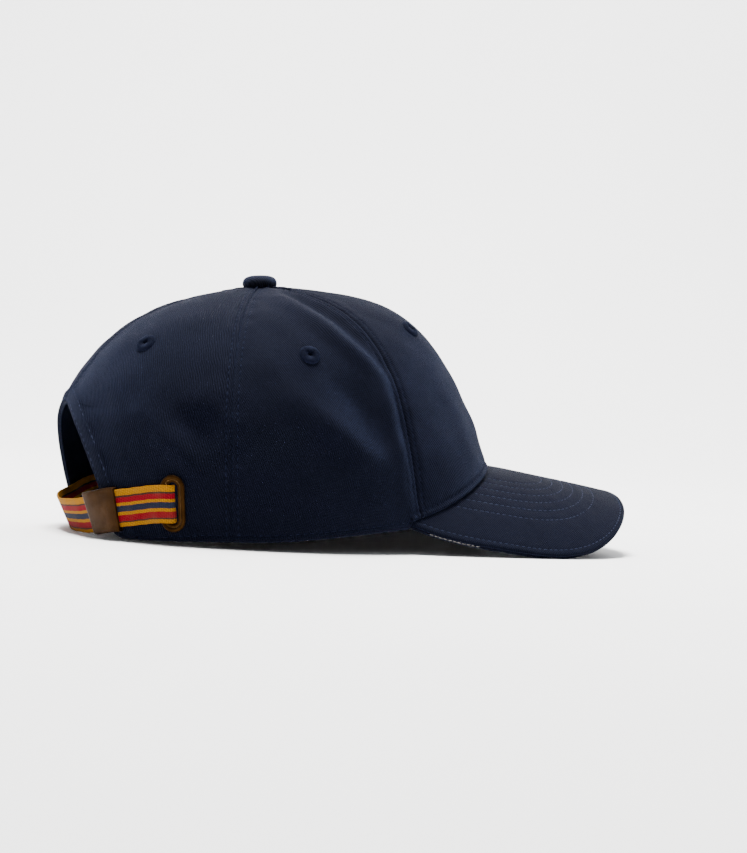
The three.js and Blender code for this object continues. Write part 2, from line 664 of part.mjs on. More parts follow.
// Points round a slot with round ends, for a half width, at a depth
function stadium(halfWidth, depth) {
  const halfStraight = (GROMMET_LENGTH - GROMMET_WIDTH) / 2;
  const points = [];
  for (let i = 0; i < ROUND_STEPS; i += 1) {
    const turn = (2 * Math.PI * (i + 0.5)) / ROUND_STEPS;
    const end = Math.sin(turn) > 0 ? halfStraight : -halfStraight;
    points.push(new THREE.Vector3(halfWidth * Math.cos(turn), end + halfWidth * Math.sin(turn), depth));
  }
  return points;
}

// The rim's section, from its outside edge in to the slot, as shares of the band's width and rise
const GROMMET_RIM = [
  { across: 0, up: 0 },
  { across: 0, up: 0.5 },
  { across: 0.2, up: 1 },
  { across: 0.45, up: 1 },
  { across: 0.6, up: 0.55 },
  { across: 1, up: 0.35 },
];
const GROMMET_LINER = 0.8;

function grommetGeometry(frame) {
  const edge = GROMMET_WIDTH / 2;
  const slot = edge - GROMMET_BAND;
  const backEdge = edge - GROMMET_BAND / 3;
  const backSeat = -CLOTH - 2.4 * SEAM_GAP;
  const backFace = backSeat - GROMMET_RISE / 2;
  const rim = GROMMET_RIM.map(({ across, up }) => [
    edge - GROMMET_BAND * across,
    SEAM_GAP + GROMMET_RISE * up,
  ]);
  const section = [
    [slot, backFace],
    [backEdge, backFace],
    [backEdge, backSeat],
    [slot + GROMMET_LINER, backSeat],
    [slot + GROMMET_LINER, SEAM_GAP],
    ...rim,
  ];
  const rings = section.map(([halfWidth, depth]) => stadium(halfWidth, depth));
  return sweep(rings, true).applyMatrix4(frame);
}

function grommetHole(frame) {
  const halfWidth = GROMMET_WIDTH / 2 - GROMMET_BAND + GROMMET_LINER + SEAM_GAP;
  return sweep([stadium(halfWidth, -4 * CLOTH), stadium(halfWidth, 4 * CLOTH)], false).applyMatrix4(frame);
}

// The strap's way through the slot, seen along the cloth: from inside the cap, out over the grommet's rim
const STRAP_THREADING = [
  { along: 0.62, out: -1.1 },
  { along: 0.32, out: -1.1 },
  { along: 0.15, out: -1 },
  { along: 0.06, out: -0.62 },
  { along: 0, out: -0.05 },
  { along: -0.09, out: 0.5 },
  { along: -0.2, out: 0.84 },
  { along: -0.36, out: 0.97 },
  { along: -0.56, out: 0.9 },
];

// A station of the strap: its middle, its way up across the width, and its way out
function strapStations(frame) {
  const middleOut = (SEAM_GAP - CLOTH) / 2;
  const clearHalf = CLOTH / 2 + SEAM_GAP + GROMMET_RISE + STRAP_THICKNESS / 2 + STRAP_REST;
  const up = new THREE.Vector3().setFromMatrixColumn(frame, 1);
  const place = (along, out) => new THREE.Vector3(along, 0, out).applyMatrix4(frame);
  const threaded = STRAP_THREADING[0];
  const tailStart = threaded.along * GROMMET_WIDTH;
  const stations = [];
  for (let i = 0; i < STRAP_TAIL_STEPS; i += 1) {
    const ahead = tailStart + STRAP_TAIL * (1 - i / STRAP_TAIL_STEPS);
    const bend = (ahead ** 2 - tailStart ** 2) / (2 * CROWN_HALF_WIDTH);
    stations.push({ middle: place(ahead, middleOut + threaded.out * clearHalf - bend), up, standOff: 0 });
  }
  for (const row of STRAP_THREADING) {
    const middle = place(row.along * GROMMET_WIDTH, middleOut + row.out * clearHalf);
    stations.push({ middle, up, standOff: 0 });
  }
  const ascending = [...STRAP_ROUTE].reverse();
  const column = (name) => smoothCurve(ascending.map((row) => row.share), ascending.map((row) => row[name]));
  const height = column("height");
  const lean = column("lean");
  const off = column("off");
  const inside = column("inside");
  const rest = SEAM_GAP + STRAP_THICKNESS / 2 + PANEL_PUFF;
  const passage = CLOTH + 2 * SEAM_GAP + STRAP_THICKNESS + PANEL_PUFF;
  const first = STRAP_ROUTE[0].share - 0.05;
  for (let i = 0; i <= STRAP_STEPS; i += 1) {
    const share = lerp(first, -1, i / STRAP_STEPS);
    const bearing = share > 0 ? share * GROMMET_BEARING : share * STRAP_ANCHOR_BEARING;
    const turn = strapAngle(bearing);
    const level = height(share) * GROMMET_LIFT;
    const outwards = new THREE.Vector3(Math.cos(rad(turn)), Math.sin(rad(turn)), 0);
    const standOff = rest + off(share) * STRAP_WIDTH - inside(share) * passage;
    const middle = smoothCrown(turn, stepAtHeight(turn, level)).addScaledVector(outwards, standOff);
    middle.z = level;
    const leaning = new THREE.Vector3(0, 0, 1).addScaledVector(outwards, Math.tan(rad(lean(share))));
    stations.push({ middle, up: leaning.normalize(), standOff });
  }
  return stations;
}

// Stations with their way along and out, square to each other
function squared(stations) {
  return stations.map((station, i) => {
    const before = stations[Math.max(i - 1, 0)].middle;
    const after = stations[Math.min(i + 1, stations.length - 1)].middle;
    const along = after.clone().sub(before).normalize();
    const up = station.up.clone().addScaledVector(along, -station.up.dot(along)).normalize();
    return { ...station, up, out: up.clone().cross(along) };
  });
}

function bandRing(station, width, thickness, shift) {
  const corner = (across, deep) =>
    station.middle
      .clone()
      .addScaledVector(station.up, (across * width) / 2)
      .addScaledVector(station.out, shift + (deep * thickness) / 2);
  return [corner(-1, 1), corner(1, 1), corner(1, -1), corner(-1, -1)];
}

function strapGeometry(stations) {
  return sweep(stations.map((station) => bandRing(station, STRAP_WIDTH, STRAP_THICKNESS, 0)), false);
}

// The stations within half a length of a place on the strap, with exact ends
function stretchOfStrap(stations, bearing, length) {
  const target = strapAngle(bearing);
  const turnOf = (station) => THREE.MathUtils.radToDeg(Math.atan2(station.middle.y, station.middle.x));
  let nearest = 0;
  stations.forEach((station, i) => {
    if (Math.abs(turnOf(station) - target) < Math.abs(turnOf(stations[nearest]) - target)) nearest = i;
  });
  const distances = [0];
  for (let i = 1; i < stations.length; i += 1) {
    distances.push(distances[i - 1] + stations[i].middle.distanceTo(stations[i - 1].middle));
  }
  const at = (distance) => {
    let i = 0;
    while (i < stations.length - 2 && distances[i + 1] < distance) i += 1;
    const t = (distance - distances[i]) / (distances[i + 1] - distances[i]);
    const mix = (name) => stations[i][name].clone().lerp(stations[i + 1][name], t);
    const standOff = lerp(stations[i].standOff, stations[i + 1].standOff, t);
    return { middle: mix("middle"), up: mix("up").normalize(), out: mix("out").normalize(), standOff };
  };
  const start = distances[nearest] - length / 2;
  return Array.from({ length: BUCKLE_STEPS + 1 }, (_, i) => at(start + (length * i) / BUCKLE_STEPS));
}

// Buckle: a folded brass sleeve that follows the strap inside it
function buckleGeometry(stations) {
  const stretch = stretchOfStrap(stations, BUCKLE_BEARING, BUCKLE_LENGTH);
  const cavity = STRAP_THICKNESS + 2 * BUCKLE_CLEARANCE;
  const longer = stretchOfStrap(stations, BUCKLE_BEARING, BUCKLE_LENGTH + 2);
  const sleeve = (places, width, thickness) =>
    sweep(places.map((station) => bandRing(station, width, thickness, 0)), false);
  const shell = sleeve(stretch, BUCKLE_WIDTH, cavity + 2 * BUCKLE_PLATE);
  return cut(shell, [sleeve(longer, BUCKLE_WIDTH - 2 * BUCKLE_PLATE, cavity)]);
}

// Buckle loop: a short cloth tab, sewn inside the right back panel, that ends behind the buckle
function loopGeometry(stations) {
  const stretch = stretchOfStrap(stations, BUCKLE_BEARING + LOOP_TURN, LOOP_LENGTH);
  const behind = STRAP_THICKNESS / 2 + BUCKLE_CLEARANCE + BUCKLE_PLATE + SEAM_GAP + LOOP_THICKNESS / 2;
  const rings = stretch.map((station, i) => {
    const insideCloth = station.standOff + CLOTH + 2 * SEAM_GAP + LOOP_THICKNESS / 2;
    const shift = lerp(insideCloth, behind, smoothstep(i / (stretch.length - 1), LOOP_BEND_START, 1));
    return bandRing(station, LOOP_WIDTH, LOOP_THICKNESS, -shift);
  });
  return sweep(rings, false);
}

// All pieces in the crown's own frame, with its rim level
const openingBlock = openingCutter();
const eyelets = eyeletPlaces();
const slotFrame = grommetFrame();
const strapLine = squared(strapStations(slotFrame));
const pieces = [];
for (const panel of PANELS) {
  for (const side of SIDES) {
    const own = eyelets.filter(({ name }) => name === `${panel.name}_${side.name}`);
    const tools = own.map(({ frame }) => eyeletHole(frame));
    if (panel.name === "back") tools.push(openingBlock);
    if (panel.name === "back" && side.name === "right") tools.push(grommetHole(slotFrame));
    const geometry = cut(panelGeometry(panel, side.sign), tools);
    pieces.push({ name: `panel_${panel.name}_${side.name}`, geometry, material: NAVY, isSoft: true });
  }
}
for (const { name, frame } of eyelets) {
  pieces.push({ name: `eyelet_${name}`, geometry: eyeletGeometry(frame), material: NAVY_THREAD });
}
const lowerCoverTop = PEAK_UPPER_COVER + SEAM_GAP;
const peakUpper = peakGeometry(0, PEAK_UPPER_COVER);
const peakLower = peakGeometry(lowerCoverTop, lowerCoverTop + PEAK_LOWER_COVER);
pieces.push(
  { name: "button", geometry: buttonGeometry(), material: NAVY },
  { name: "peak_upper", geometry: peakUpper, material: NAVY },
  { name: "peak_lower", geometry: peakLower, material: NAVY_UNDER, isSoft: true },
  { name: "grommet", geometry: grommetGeometry(slotFrame), material: ANTIQUE_BRASS },
  { name: "strap", geometry: strapGeometry(strapLine), material: STRIPED_WEBBING, isSoft: true },
  { name: "buckle", geometry: buckleGeometry(strapLine), material: ANTIQUE_BRASS },
  { name: "buckle_loop", geometry: loopGeometry(strapLine), material: NAVY_UNDER, isSoft: true },
);

// The cap tips until it stands on its strap at the back and its peak in front
function lowest(tilt, isInFront) {
  const sine = Math.sin(tilt);
  const cosine = Math.cos(tilt);
  let least = Infinity;
  for (const { geometry } of pieces) {
    const { array } = geometry.getAttribute("position");
    for (let i = 0; i < array.length; i += 3) {
      if (array[i] > 0 === isInFront) least = Math.min(least, array[i] * sine + array[i + 2] * cosine);
    }
  }
  return least;
}

let tilt = 0;
for (let i = 0; i < HALVINGS; i += 1) {
  tilt += (lowest(tilt, false) - lowest(tilt, true)) / (CROWN_BACK_REACH + CROWN_FRONT_REACH);
}
const onTheFloor = new THREE.Matrix4().makeRotationY(-tilt).setPosition(0, 0, -PRESS - lowest(tilt, false));

// The floor, as a block that flattens the cloth where the cap stands on it
const floorSize = 4 * CROWN_FRONT_REACH;
const floor = new THREE.BoxGeometry(floorSize, floorSize, CROWN_HEIGHT).translate(0, 0, -CROWN_HEIGHT / 2);
const cap = new THREE.Group();
for (const { name, geometry, material, isSoft } of pieces) {
  const standing = geometry.applyMatrix4(onTheFloor);
  standing.computeBoundingBox();
  const isPressed = isSoft && standing.boundingBox.min.z < 0;
  const mesh = new THREE.Mesh(isPressed ? cut(standing, [floor]) : standing, material);
  mesh.name = name;
  cap.add(mesh);
}

// The origin is on the floor under the middle of the cap
const box = new THREE.Box3().setFromObject(cap);
const centre = box.getCenter(new THREE.Vector3());
for (const mesh of cap.children) mesh.geometry.translate(-centre.x, -centre.y, 0);

export default cap;
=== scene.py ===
import math

import bpy
import numpy as np
from mathutils import Matrix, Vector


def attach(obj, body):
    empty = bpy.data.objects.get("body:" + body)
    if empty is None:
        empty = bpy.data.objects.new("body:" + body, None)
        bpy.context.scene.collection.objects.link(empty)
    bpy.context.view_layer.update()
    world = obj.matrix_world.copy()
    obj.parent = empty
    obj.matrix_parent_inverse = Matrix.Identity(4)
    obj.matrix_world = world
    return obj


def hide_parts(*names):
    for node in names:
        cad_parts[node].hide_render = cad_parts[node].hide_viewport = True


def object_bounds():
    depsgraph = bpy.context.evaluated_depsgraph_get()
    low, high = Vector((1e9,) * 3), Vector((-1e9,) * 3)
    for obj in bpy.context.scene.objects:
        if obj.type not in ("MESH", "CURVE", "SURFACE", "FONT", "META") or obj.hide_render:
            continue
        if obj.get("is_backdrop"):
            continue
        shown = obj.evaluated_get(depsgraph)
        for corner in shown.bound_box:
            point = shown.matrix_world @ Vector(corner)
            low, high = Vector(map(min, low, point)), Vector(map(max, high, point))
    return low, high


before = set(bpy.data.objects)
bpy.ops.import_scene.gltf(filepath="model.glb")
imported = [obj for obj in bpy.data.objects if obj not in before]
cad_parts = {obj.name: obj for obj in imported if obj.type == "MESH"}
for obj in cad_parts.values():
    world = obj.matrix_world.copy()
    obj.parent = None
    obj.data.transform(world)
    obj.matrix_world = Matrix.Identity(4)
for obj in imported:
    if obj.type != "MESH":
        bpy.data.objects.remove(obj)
bounds_at_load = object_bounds()
rng = np.random.default_rng(7)

# Crown
FRONT_REACH = 110
BACK_REACH = 95.4
HALF_WIDTH = 86.8
HEIGHT = 115.2
SQUARENESS = 2.13
CLOTH = 1.6
PUFF = 1.2
FRONT_SEAM = 56.1
REAR_SEAM = 115.3
REAR_SWING = 2.3
SEAM_GAP = 0.3
SEAM_OVERLAP = 0.12
STEM_RADIUS = 2.6

# Peak
PEAK_LENGTH = 70.2
PEAK_HALF_WIDTH = 85.3
PEAK_HALF_ANGLE = 60.5
PEAK_ROOT_HEIGHT = 26.8
PEAK_SLOPE = 13
PEAK_ARCH_DROP = 38.8
PEAK_ARCH_POWER = 2.6
PEAK_BOW = 1.7
PEAK_ROUNDNESS = 2.5
PEAK_WIDEST_BEHIND_ROOT = 10.5
PEAK_ROUND_SHARE = 0.74
PEAK_CORNER_POWER = 3.4
PEAK_UPPER_COVER = 1.7
PEAK_LOWER_COVER = 1.2
PEAK_TUCK = 1.2

# Opening at the back
OPENING_HALF_WIDTH = 44
OPENING_HEIGHT = 61
OPENING_ROUNDNESS = 1.75
OPENING_CORNER = 5
LIP_FLARE = 2.4
LIP_DEPTH = 11
CORNER_OVERLAP = 1.4
RIM_STEP_RUN = 1.6

# Button and eyelets
BUTTON_RADIUS = 8.2
BUTTON_HEIGHT = 5.9
EYELET_RADIUS = 4.8
EYELET_RISE = 1.15
EYELET_HOLE = 0.85
EYELET_SHARE = 0.54

# Strap, buckle and grommet
STRAP_WIDTH = 17
STRAP_THICKNESS = 1
STRAP_REST = 0.4
GROMMET_BEARING = 48.3
GROMMET_LIFT = 18
GROMMET_WIDTH = 11.4
GROMMET_LENGTH = 25.6
GROMMET_BAND = 3.4
GROMMET_RISE = 1.1
STRAP_TAIL = 15
STRAP_ANCHOR_BEARING = 52
BUCKLE_BEARING = 26.6
BUCKLE_LENGTH = 18.5
BUCKLE_WIDTH = 20
BUCKLE_PLATE = 0.8
BUCKLE_CLEARANCE = 0.4
BUCKLE_BEVEL = 0.25
BUCKLE_SKEW = math.radians(4)
LOOP_LENGTH = 20
LOOP_TURN = 0.6
LOOP_WIDTH = 10
LOOP_THICKNESS = 1.1

# Stitching
STITCH = 2.5
STITCH_PITCH = 3.3
THREAD_RADIUS = 0.24
SEAM_STITCH = 2.7
RIM_STITCH = 3.2
HEM_STITCH = 7
HEM_EDGE_STITCH = 1.9
HEM_RISE = 0.7
PEAK_STITCH = 2.15
PEAK_STITCH_PITCH = 2.9
PEAK_THREAD_RADIUS = 0.2
PEAK_STITCH_SUNK = 0.18
EDGE_STITCH_OFFSET = 2.2
PEAK_STITCH_OFFSETS = [15.5, 20.7, 25.6, 30.6, 35.8, 41]
PALE_STITCH = 1.6
PALE_STITCH_PITCH = 2.3
PALE_THREAD_RADIUS = 0.14
PALE_STRETCHES = ((0.015, 0.085), (0.31, 0.355), (0.645, 0.69), (0.915, 0.985))
EYELET_THREADS = 46

# A distance in mm beyond the reach of any edge's relief
FAR = 1000

# What sewing does to the cloth: rise in mm, where it is from the edge in mm, and its width in mm
SEAM_RELIEF = [(-0.3, 0, 0.9), (0.16, 1.5, 1.2), (-0.16, SEAM_STITCH, 0.6)]
HEM_RELIEF = [(0.2, 1.1, 1), (-0.14, HEM_EDGE_STITCH, 0.45), (-0.3, HEM_STITCH, 0.5)]
PEAK_RELIEF = [(0.12, 1.1, 0.8), (-0.2, EDGE_STITCH_OFFSET, 0.5)]
PEAK_RELIEF += [(-0.22, offset, 0.6) for offset in PEAK_STITCH_OFFSETS]

# Heights in mm of the cloth's small waves and turned edges
FOLDED_EDGE_RISE = 0.16
SEAM_PUCKER = 0.16
RIM_ROLL = 0.3
SEATED_RIM_ROLL = 0.75
RIM_FOLD_RISE = 0.2
RIM_STITCH_DIP = 0.32
RIM_PUCKER = 0.2
HEM_PUCKER = 0.15
SLOW_WAVES = 0.28
SMALL_WAVES = 0.08
GATHER = 0.55
PEAK_SLOW_WAVES = 0.07
PEAK_SMALL_WAVES = 0.05

# How the cap stands: tipped about the Y axis, lifted, and centred over its origin
TILT = math.radians(4.3061)
LIFT = 5.3547
CENTRE_X = 39.03

# Crown's sections from the button to the rim: reach and fall as shares of the whole
SECTION_ROWS = {
    "frontOut": [0, 0.1, 0.28, 0.45, 0.622, 0.704, 0.771, 0.833, 0.885, 0.942, 1],
    "frontDown": [0, 0.004, 0.028, 0.07, 0.165, 0.25, 0.345, 0.47, 0.6, 0.76, 1],
    "sideOut": [0, 0.1, 0.28, 0.45, 0.616, 0.746, 0.846, 0.926, 0.97, 0.995, 1],
    "sideDown": [0, 0.004, 0.032, 0.08, 0.15, 0.24, 0.345, 0.48, 0.63, 0.8, 1],
    "backOut": [0, 0.1, 0.28, 0.45, 0.62, 0.75, 0.86, 0.95, 0.995, 1.01, 0.985],
    "backDown": [0, 0.005, 0.028, 0.066, 0.125, 0.2, 0.295, 0.41, 0.56, 0.76, 1],
}
# Rim's height round the head, as shares of the crown's
RIM_ANGLES = [55, 75, 105, 130, 155, 180]
RIM_HEIGHTS = [0.026, 0.017, 0.002, 0.01, 0.014, 0.016]

# How much higher the folds stand than on the solids
FOLD_SHARE = 1.55
# Folds: side, angles between the seams as shares, steps from the button, width and height in mm
FOLDS = [
    (-1, (0.56, 0.3, 0.09), (0.27, 0.49, 0.64), 5.5, 1.9),
    (-1, (0.09, 0.085, 0.07), (0.64, 0.78, 0.93), 5, 1.3),
    (-1, (0.3, 0.13, 0.045), (0.2, 0.4, 0.6), 5, -2),
    (-1, (0.045, 0.04, 0.01), (0.6, 0.78, 0.96), 4.5, -1.6),
    (-1, (0.64, 0.45, 0.2), (0.69, 0.78, 0.88), 7, 1.7),
    (-1, (0.42, 0.3, 0.22), (0.62, 0.7, 0.78), 9, -1.8),
    (-1, (1.44, 1.25, 1.1), (0.75, 0.82, 0.9), 6, 1.5),
    (-1, (1.3, 1.17, 1.07), (0.73, 0.77, 0.82), 8, -1.3),
    (1, (0.5, 0.28, 0.1), (0.3, 0.5, 0.68), 7, 1.3),
    (1, (0.7, 0.5, 0.3), (0.66, 0.77, 0.88), 8, 1.3),
    (1, (1.4, 1.24, 1.1), (0.7, 0.8, 0.9), 7, 1.1),
]

# Strap's route: share of the bearing, height as a share of the grommet's, lean in degrees, distance off
# the cloth as a share of the strap's width, and how far it has passed to the inside
STRAP_ROUTE = [
    (0.93, 1, 4, 0.06, 0),
    (0.78, 0.92, 4, 0.01, 0),
    (0.62, 0.84, 5, 0.1, 0),
    (0.48, 0.69, 12, 0.12, 0),
    (0.32, 0.595, 18, 0.04, 0),
    (0, 0.52, 23, -0.04, 0),
    (-0.3, 0.6, 17, 0, 0.4),
    (-0.5, 0.72, 7, 0, 1.15),
    (-0.78, 0.89, 4, 0, 1.15),
    (-1, 0.94, 3, 0, 1.15),
]
# Where the strap goes through the slot: along it and out of it, as shares of the grommet's width and depth
STRAP_THREADING = [
    (0.62, -1.1),
    (0.32, -1.1),
    (0.21, -1),
    (0.125, -0.62),
    (0.085, -0.05),
    (0.03, 0.5),
    (-0.1, 0.84),
    (-0.36, 0.97),
    (-0.56, 0.9),
]


def smoothstep(x, start, end):
    t = np.clip((x - start) / (end - start), 0, 1)
    return t * t * (3 - 2 * t)


def bump(x, middle, width):
    return np.exp(-(((x - middle) / width) ** 2))


def thinned(distance, radius):
    """Share of a sheet's thickness left at a distance from its half-round edge."""
    return np.sqrt(np.clip(1 - (1 - np.clip(distance / radius, 0, 1)) ** 2, 0, 1))


def inland(share):
    """Fades relief out on the half-round edge itself."""
    return np.clip(share * 1.4 - 0.4, 0, 1)


def sewn(distance, relief):
    """The rises of one table of relief, at a distance from the edge."""
    return sum(rise * bump(distance, middle, width) for rise, middle, width in relief)


def lerp(a, b, t):
    return a + (b - a) * t


def unit(v):
    return v / np.maximum(np.linalg.norm(v, axis=-1, keepdims=True), 1e-12)


def smooth_curve(xs, ys):
    """A smooth curve through values that never overshoots them."""
    xs, ys = np.array(xs, float), np.array(ys, float)
    slopes = np.diff(ys) / np.diff(xs)
    before, after = np.concatenate([slopes[:1], slopes]), np.concatenate([slopes, slopes[-1:]])
    both = before * after
    total = np.where(both > 0, before + after, 1)
    tangents = np.where(both > 0, 2 * both / total, 0)

    def value(x):
        i = np.clip(np.searchsorted(xs, x) - 1, 0, len(xs) - 2)
        step = xs[i + 1] - xs[i]
        t = np.clip((x - xs[i]) / step, 0, 1)
        rise = ys[i + 1] - ys[i]
        a, b = tangents[i] * step, tangents[i + 1] * step
        return ys[i] + t * a + t * t * (3 * rise - 2 * a - b) + t**3 * (a + b - 2 * rise)

    return value


SECTIONS = {name: smooth_curve(np.linspace(0, 1, 11), row) for name, row in SECTION_ROWS.items()}
rim_share = smooth_curve(RIM_ANGLES, RIM_HEIGHTS)


def side_rim_height(angle):
    return HEIGHT * rim_share(np.abs(angle))


def heading(angle):
    """A direction's parts along X and Y, from its angle in degrees."""
    return np.cos(np.radians(angle)), np.sin(np.radians(angle))


def rim_reach(angle):
    along, across = heading(angle)
    length = np.where(along > 0, FRONT_REACH, BACK_REACH)
    total = np.abs(along / length) ** SQUARENESS + np.abs(across / HALF_WIDTH) ** SQUARENESS
    return total ** (-1 / SQUARENESS)


def peak_height(x, y):
    ahead = x - FRONT_REACH
    run = ahead / PEAK_LENGTH
    arch = PEAK_ARCH_DROP * (np.abs(y) / PEAK_HALF_WIDTH) ** PEAK_ARCH_POWER
    return PEAK_ROOT_HEIGHT - ahead * math.tan(math.radians(PEAK_SLOPE)) + PEAK_BOW * run * (1 - run) - arch


def peak_height_at_rim(angle):
    along, across = rim_reach(angle) * np.array(heading(angle))
    return peak_height(along, across)


def fold_line(angle):
    behind = smoothstep(np.abs(angle), PEAK_HALF_ANGLE - 10, PEAK_HALF_ANGLE + 15)
    return lerp(peak_height_at_rim(angle), side_rim_height(angle), behind)


def trim_line(angle):
    away = np.abs(angle)
    start = PEAK_HALF_ANGLE - CORNER_OVERLAP
    seated = peak_height_at_rim(np.minimum(away, start)) + SEAM_GAP
    return lerp(seated, side_rim_height(angle), smoothstep(away, start, start + RIM_STEP_RUN))


def smooth_crown(angle, step):
    angle, step = np.broadcast_arrays(np.asarray(angle, float), np.asarray(step, float))
    along, across = heading(angle)
    front, back = np.maximum(along, 0) ** 1.5, np.maximum(-along, 0) ** 1.5
    parts = {"front": front, "side": 1 - front - back, "back": back}
    out, down = (sum(parts[n] * SECTIONS[n + kind](step) for n in parts) for kind in ("Out", "Down"))
    base = fold_line(angle)
    trim = (trim_line(angle) - base) * smoothstep(step, 0.8, 1)
    reach = rim_reach(angle) * out
    return np.stack([reach * along, reach * across, base + (HEIGHT - base) * (1 - down) + trim], axis=-1)


def opening_half_width(height):
    share = np.clip(height / OPENING_HEIGHT, 0, 1)
    return OPENING_HALF_WIDTH * (1 - share**OPENING_ROUNDNESS) ** (1 / OPENING_ROUNDNESS)


def lip_flare(p):
    across = np.abs(p[..., 1]) / OPENING_HALF_WIDTH
    up = np.maximum(p[..., 2], 0) / OPENING_HEIGHT
    edge = (across**OPENING_ROUNDNESS + up**OPENING_ROUNDNESS) ** (1 / OPENING_ROUNDNESS)
    from_edge = np.maximum(edge - 1, 0) * OPENING_HEIGHT
    flare = LIP_FLARE * np.exp(-((from_edge / LIP_DEPTH) ** 2)) * smoothstep(up, 0.3, 1)
    return np.where(p[..., 0] > 0, 0, flare)


PANEL_RUN = 0.87 * (HALF_WIDTH + HEIGHT)


def fold_height(angle, step):
    """Height in mm of the cloth's large folds."""
    between = REAR_SEAM - FRONT_SEAM
    share = (np.abs(angle) - FRONT_SEAM) / between
    per_share = math.radians(between) * rim_reach(angle) * SECTIONS["sideOut"](step)
    height = np.zeros(np.broadcast(angle, step).shape)
    for side, angles, steps, width, rise in FOLDS:
        best = np.full(height.shape, np.inf)
        where = np.zeros(height.shape)
        for i in range(2):
            run_x, run_y = (angles[i + 1] - angles[i]) * per_share, (steps[i + 1] - steps[i]) * PANEL_RUN
            x, y = (share - angles[i]) * per_share, (step - steps[i]) * PANEL_RUN
            t = np.clip((x * run_x + y * run_y) / np.maximum(run_x**2 + run_y**2, 1e-9), 0, 1)
            distance = np.hypot(x - t * run_x, y - t * run_y)
            where = np.where(distance < best, (i + t) / 2, where)
            best = np.minimum(distance, best)
        fold = rise * np.exp(-((best / width) ** 2)) * lerp(0.35, 1, np.sin(np.pi * where))
        height += np.where(side * angle < 0, 0, fold)
    return height


def rear_seam(step):
    return REAR_SEAM - REAR_SWING * np.maximum(1 - step / 0.6, 0) ** 2


def seam_at(bearing):
    """A straight seam's bearing at every step."""
    return lambda step: 0 * step + bearing


# Each panel's first and last seam, and the step at which its eyelet sits
PANELS = {
    "front": (seam_at(0), seam_at(FRONT_SEAM), 0.478),
    "side": (seam_at(FRONT_SEAM), rear_seam, 0.55),
    "back": (rear_seam, seam_at(180), 0.532),
}
SIDES = (("right", -1), ("left", 1))


def crown_at(angle, step, panel):
    """The crown as sewn, without its finest wrinkles."""
    start, end = PANELS[panel][0](step), PANELS[panel][1](step)
    share = np.clip((np.abs(angle) - start) / (end - start), 0, 1)
    puff = PUFF * np.sin(np.pi * share) * smoothstep(step, 0, 0.3)
    p = smooth_crown(angle, step)
    outwards = unit(p - np.array([0, 0, 0.17 * HEIGHT]))
    lift = puff + FOLD_SHARE * fold_height(angle, step) + lip_flare(p)
    return p + outwards * lift[..., None]


def crown_normal(angle, step, panel):
    reach = 0.004
    start, end = PANELS[panel][0](step), PANELS[panel][1](step)
    sign = np.sign(np.mean(angle))
    low, high = (start, end) if sign > 0 else (-end, -start)
    left = crown_at(np.minimum(angle + reach * 90, high), step, panel)
    right = crown_at(np.maximum(angle - reach * 90, low), step, panel)
    lower = crown_at(angle, np.minimum(step + reach, 1), panel)
    upper = crown_at(angle, np.maximum(step - reach, 0), panel)
    return unit(np.cross(lower - upper, left - right))


def search(test, before=0.0, after=1.0):
    """The place between two others from which a test holds."""
    for _ in range(30):
        middle = (before + after) / 2
        if test(middle):
            after = middle
        else:
            before = middle
    return (before + after) / 2


def standing(p):
    """From the crown's frame in millimetres to the row frame in metres."""
    p = np.asarray(p, float)
    x = p[..., 0] * math.cos(TILT) - p[..., 2] * math.sin(TILT) - CENTRE_X
    z = p[..., 0] * math.sin(TILT) + p[..., 2] * math.cos(TILT) + LIFT
    return np.stack([x, p[..., 1], z], axis=-1) / 1000


def wrinkle(x, y, size, seed):
    """Soft random waves, about one unit high."""
    r = np.random.default_rng(seed)
    total = np.zeros(np.broadcast(x, y).shape)
    for _ in range(7):
        turn, phase = r.uniform(0, 2 * np.pi, 2)
        wave = 2 * np.pi / (size * r.uniform(0.6, 1.7))
        total += np.sin(wave * (x * np.cos(turn) + y * np.sin(turn)) + phase)
    return total / 3


def new_mesh(name, points, faces, material):
    mesh = bpy.data.meshes.new(name)
    mesh.from_pydata(points, [], [tuple(int(i) for i in f) for f in faces])
    mesh.materials.append(material)
    mesh.shade_smooth()
    return mesh


def add_object(name, data):
    obj = bpy.data.objects.new(name, data)
    bpy.context.scene.collection.objects.link(obj)
    return obj


def make_object(name, points, faces, material, cloth, replaces=False, press=False):
    """A mesh object from points in the crown's frame; cloth holds each point's place on the cloth in mm."""
    at = standing(points)
    if press:
        at[:, 2] = np.maximum(at[:, 2], 0.0)
    own_name = f"{name}_finish" if replaces else name
    mesh = new_mesh(own_name, at.tolist(), faces, material)
    data = mesh.attributes.new("cloth", "FLOAT_VECTOR", "POINT")
    data.data.foreach_set("vector", np.asarray(cloth, np.float32).ravel())
    obj = add_object(own_name, mesh)
    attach(obj, "root")
    if replaces:
        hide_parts(name)


def grid_faces(rows, columns, offset=0, closed=False, flip=False):
    """Quads over a grid of rows by columns; closed joins the last column to the first."""
    i, j = np.meshgrid(np.arange(rows - 1), np.arange(columns if closed else columns - 1), indexing="ij")
    k = (j + 1) % columns
    quads = np.stack([i * columns + j, i * columns + k, (i + 1) * columns + k, (i + 1) * columns + j], -1)
    quads = quads.reshape(-1, 4) + offset
    return quads[:, ::-1] if flip else quads


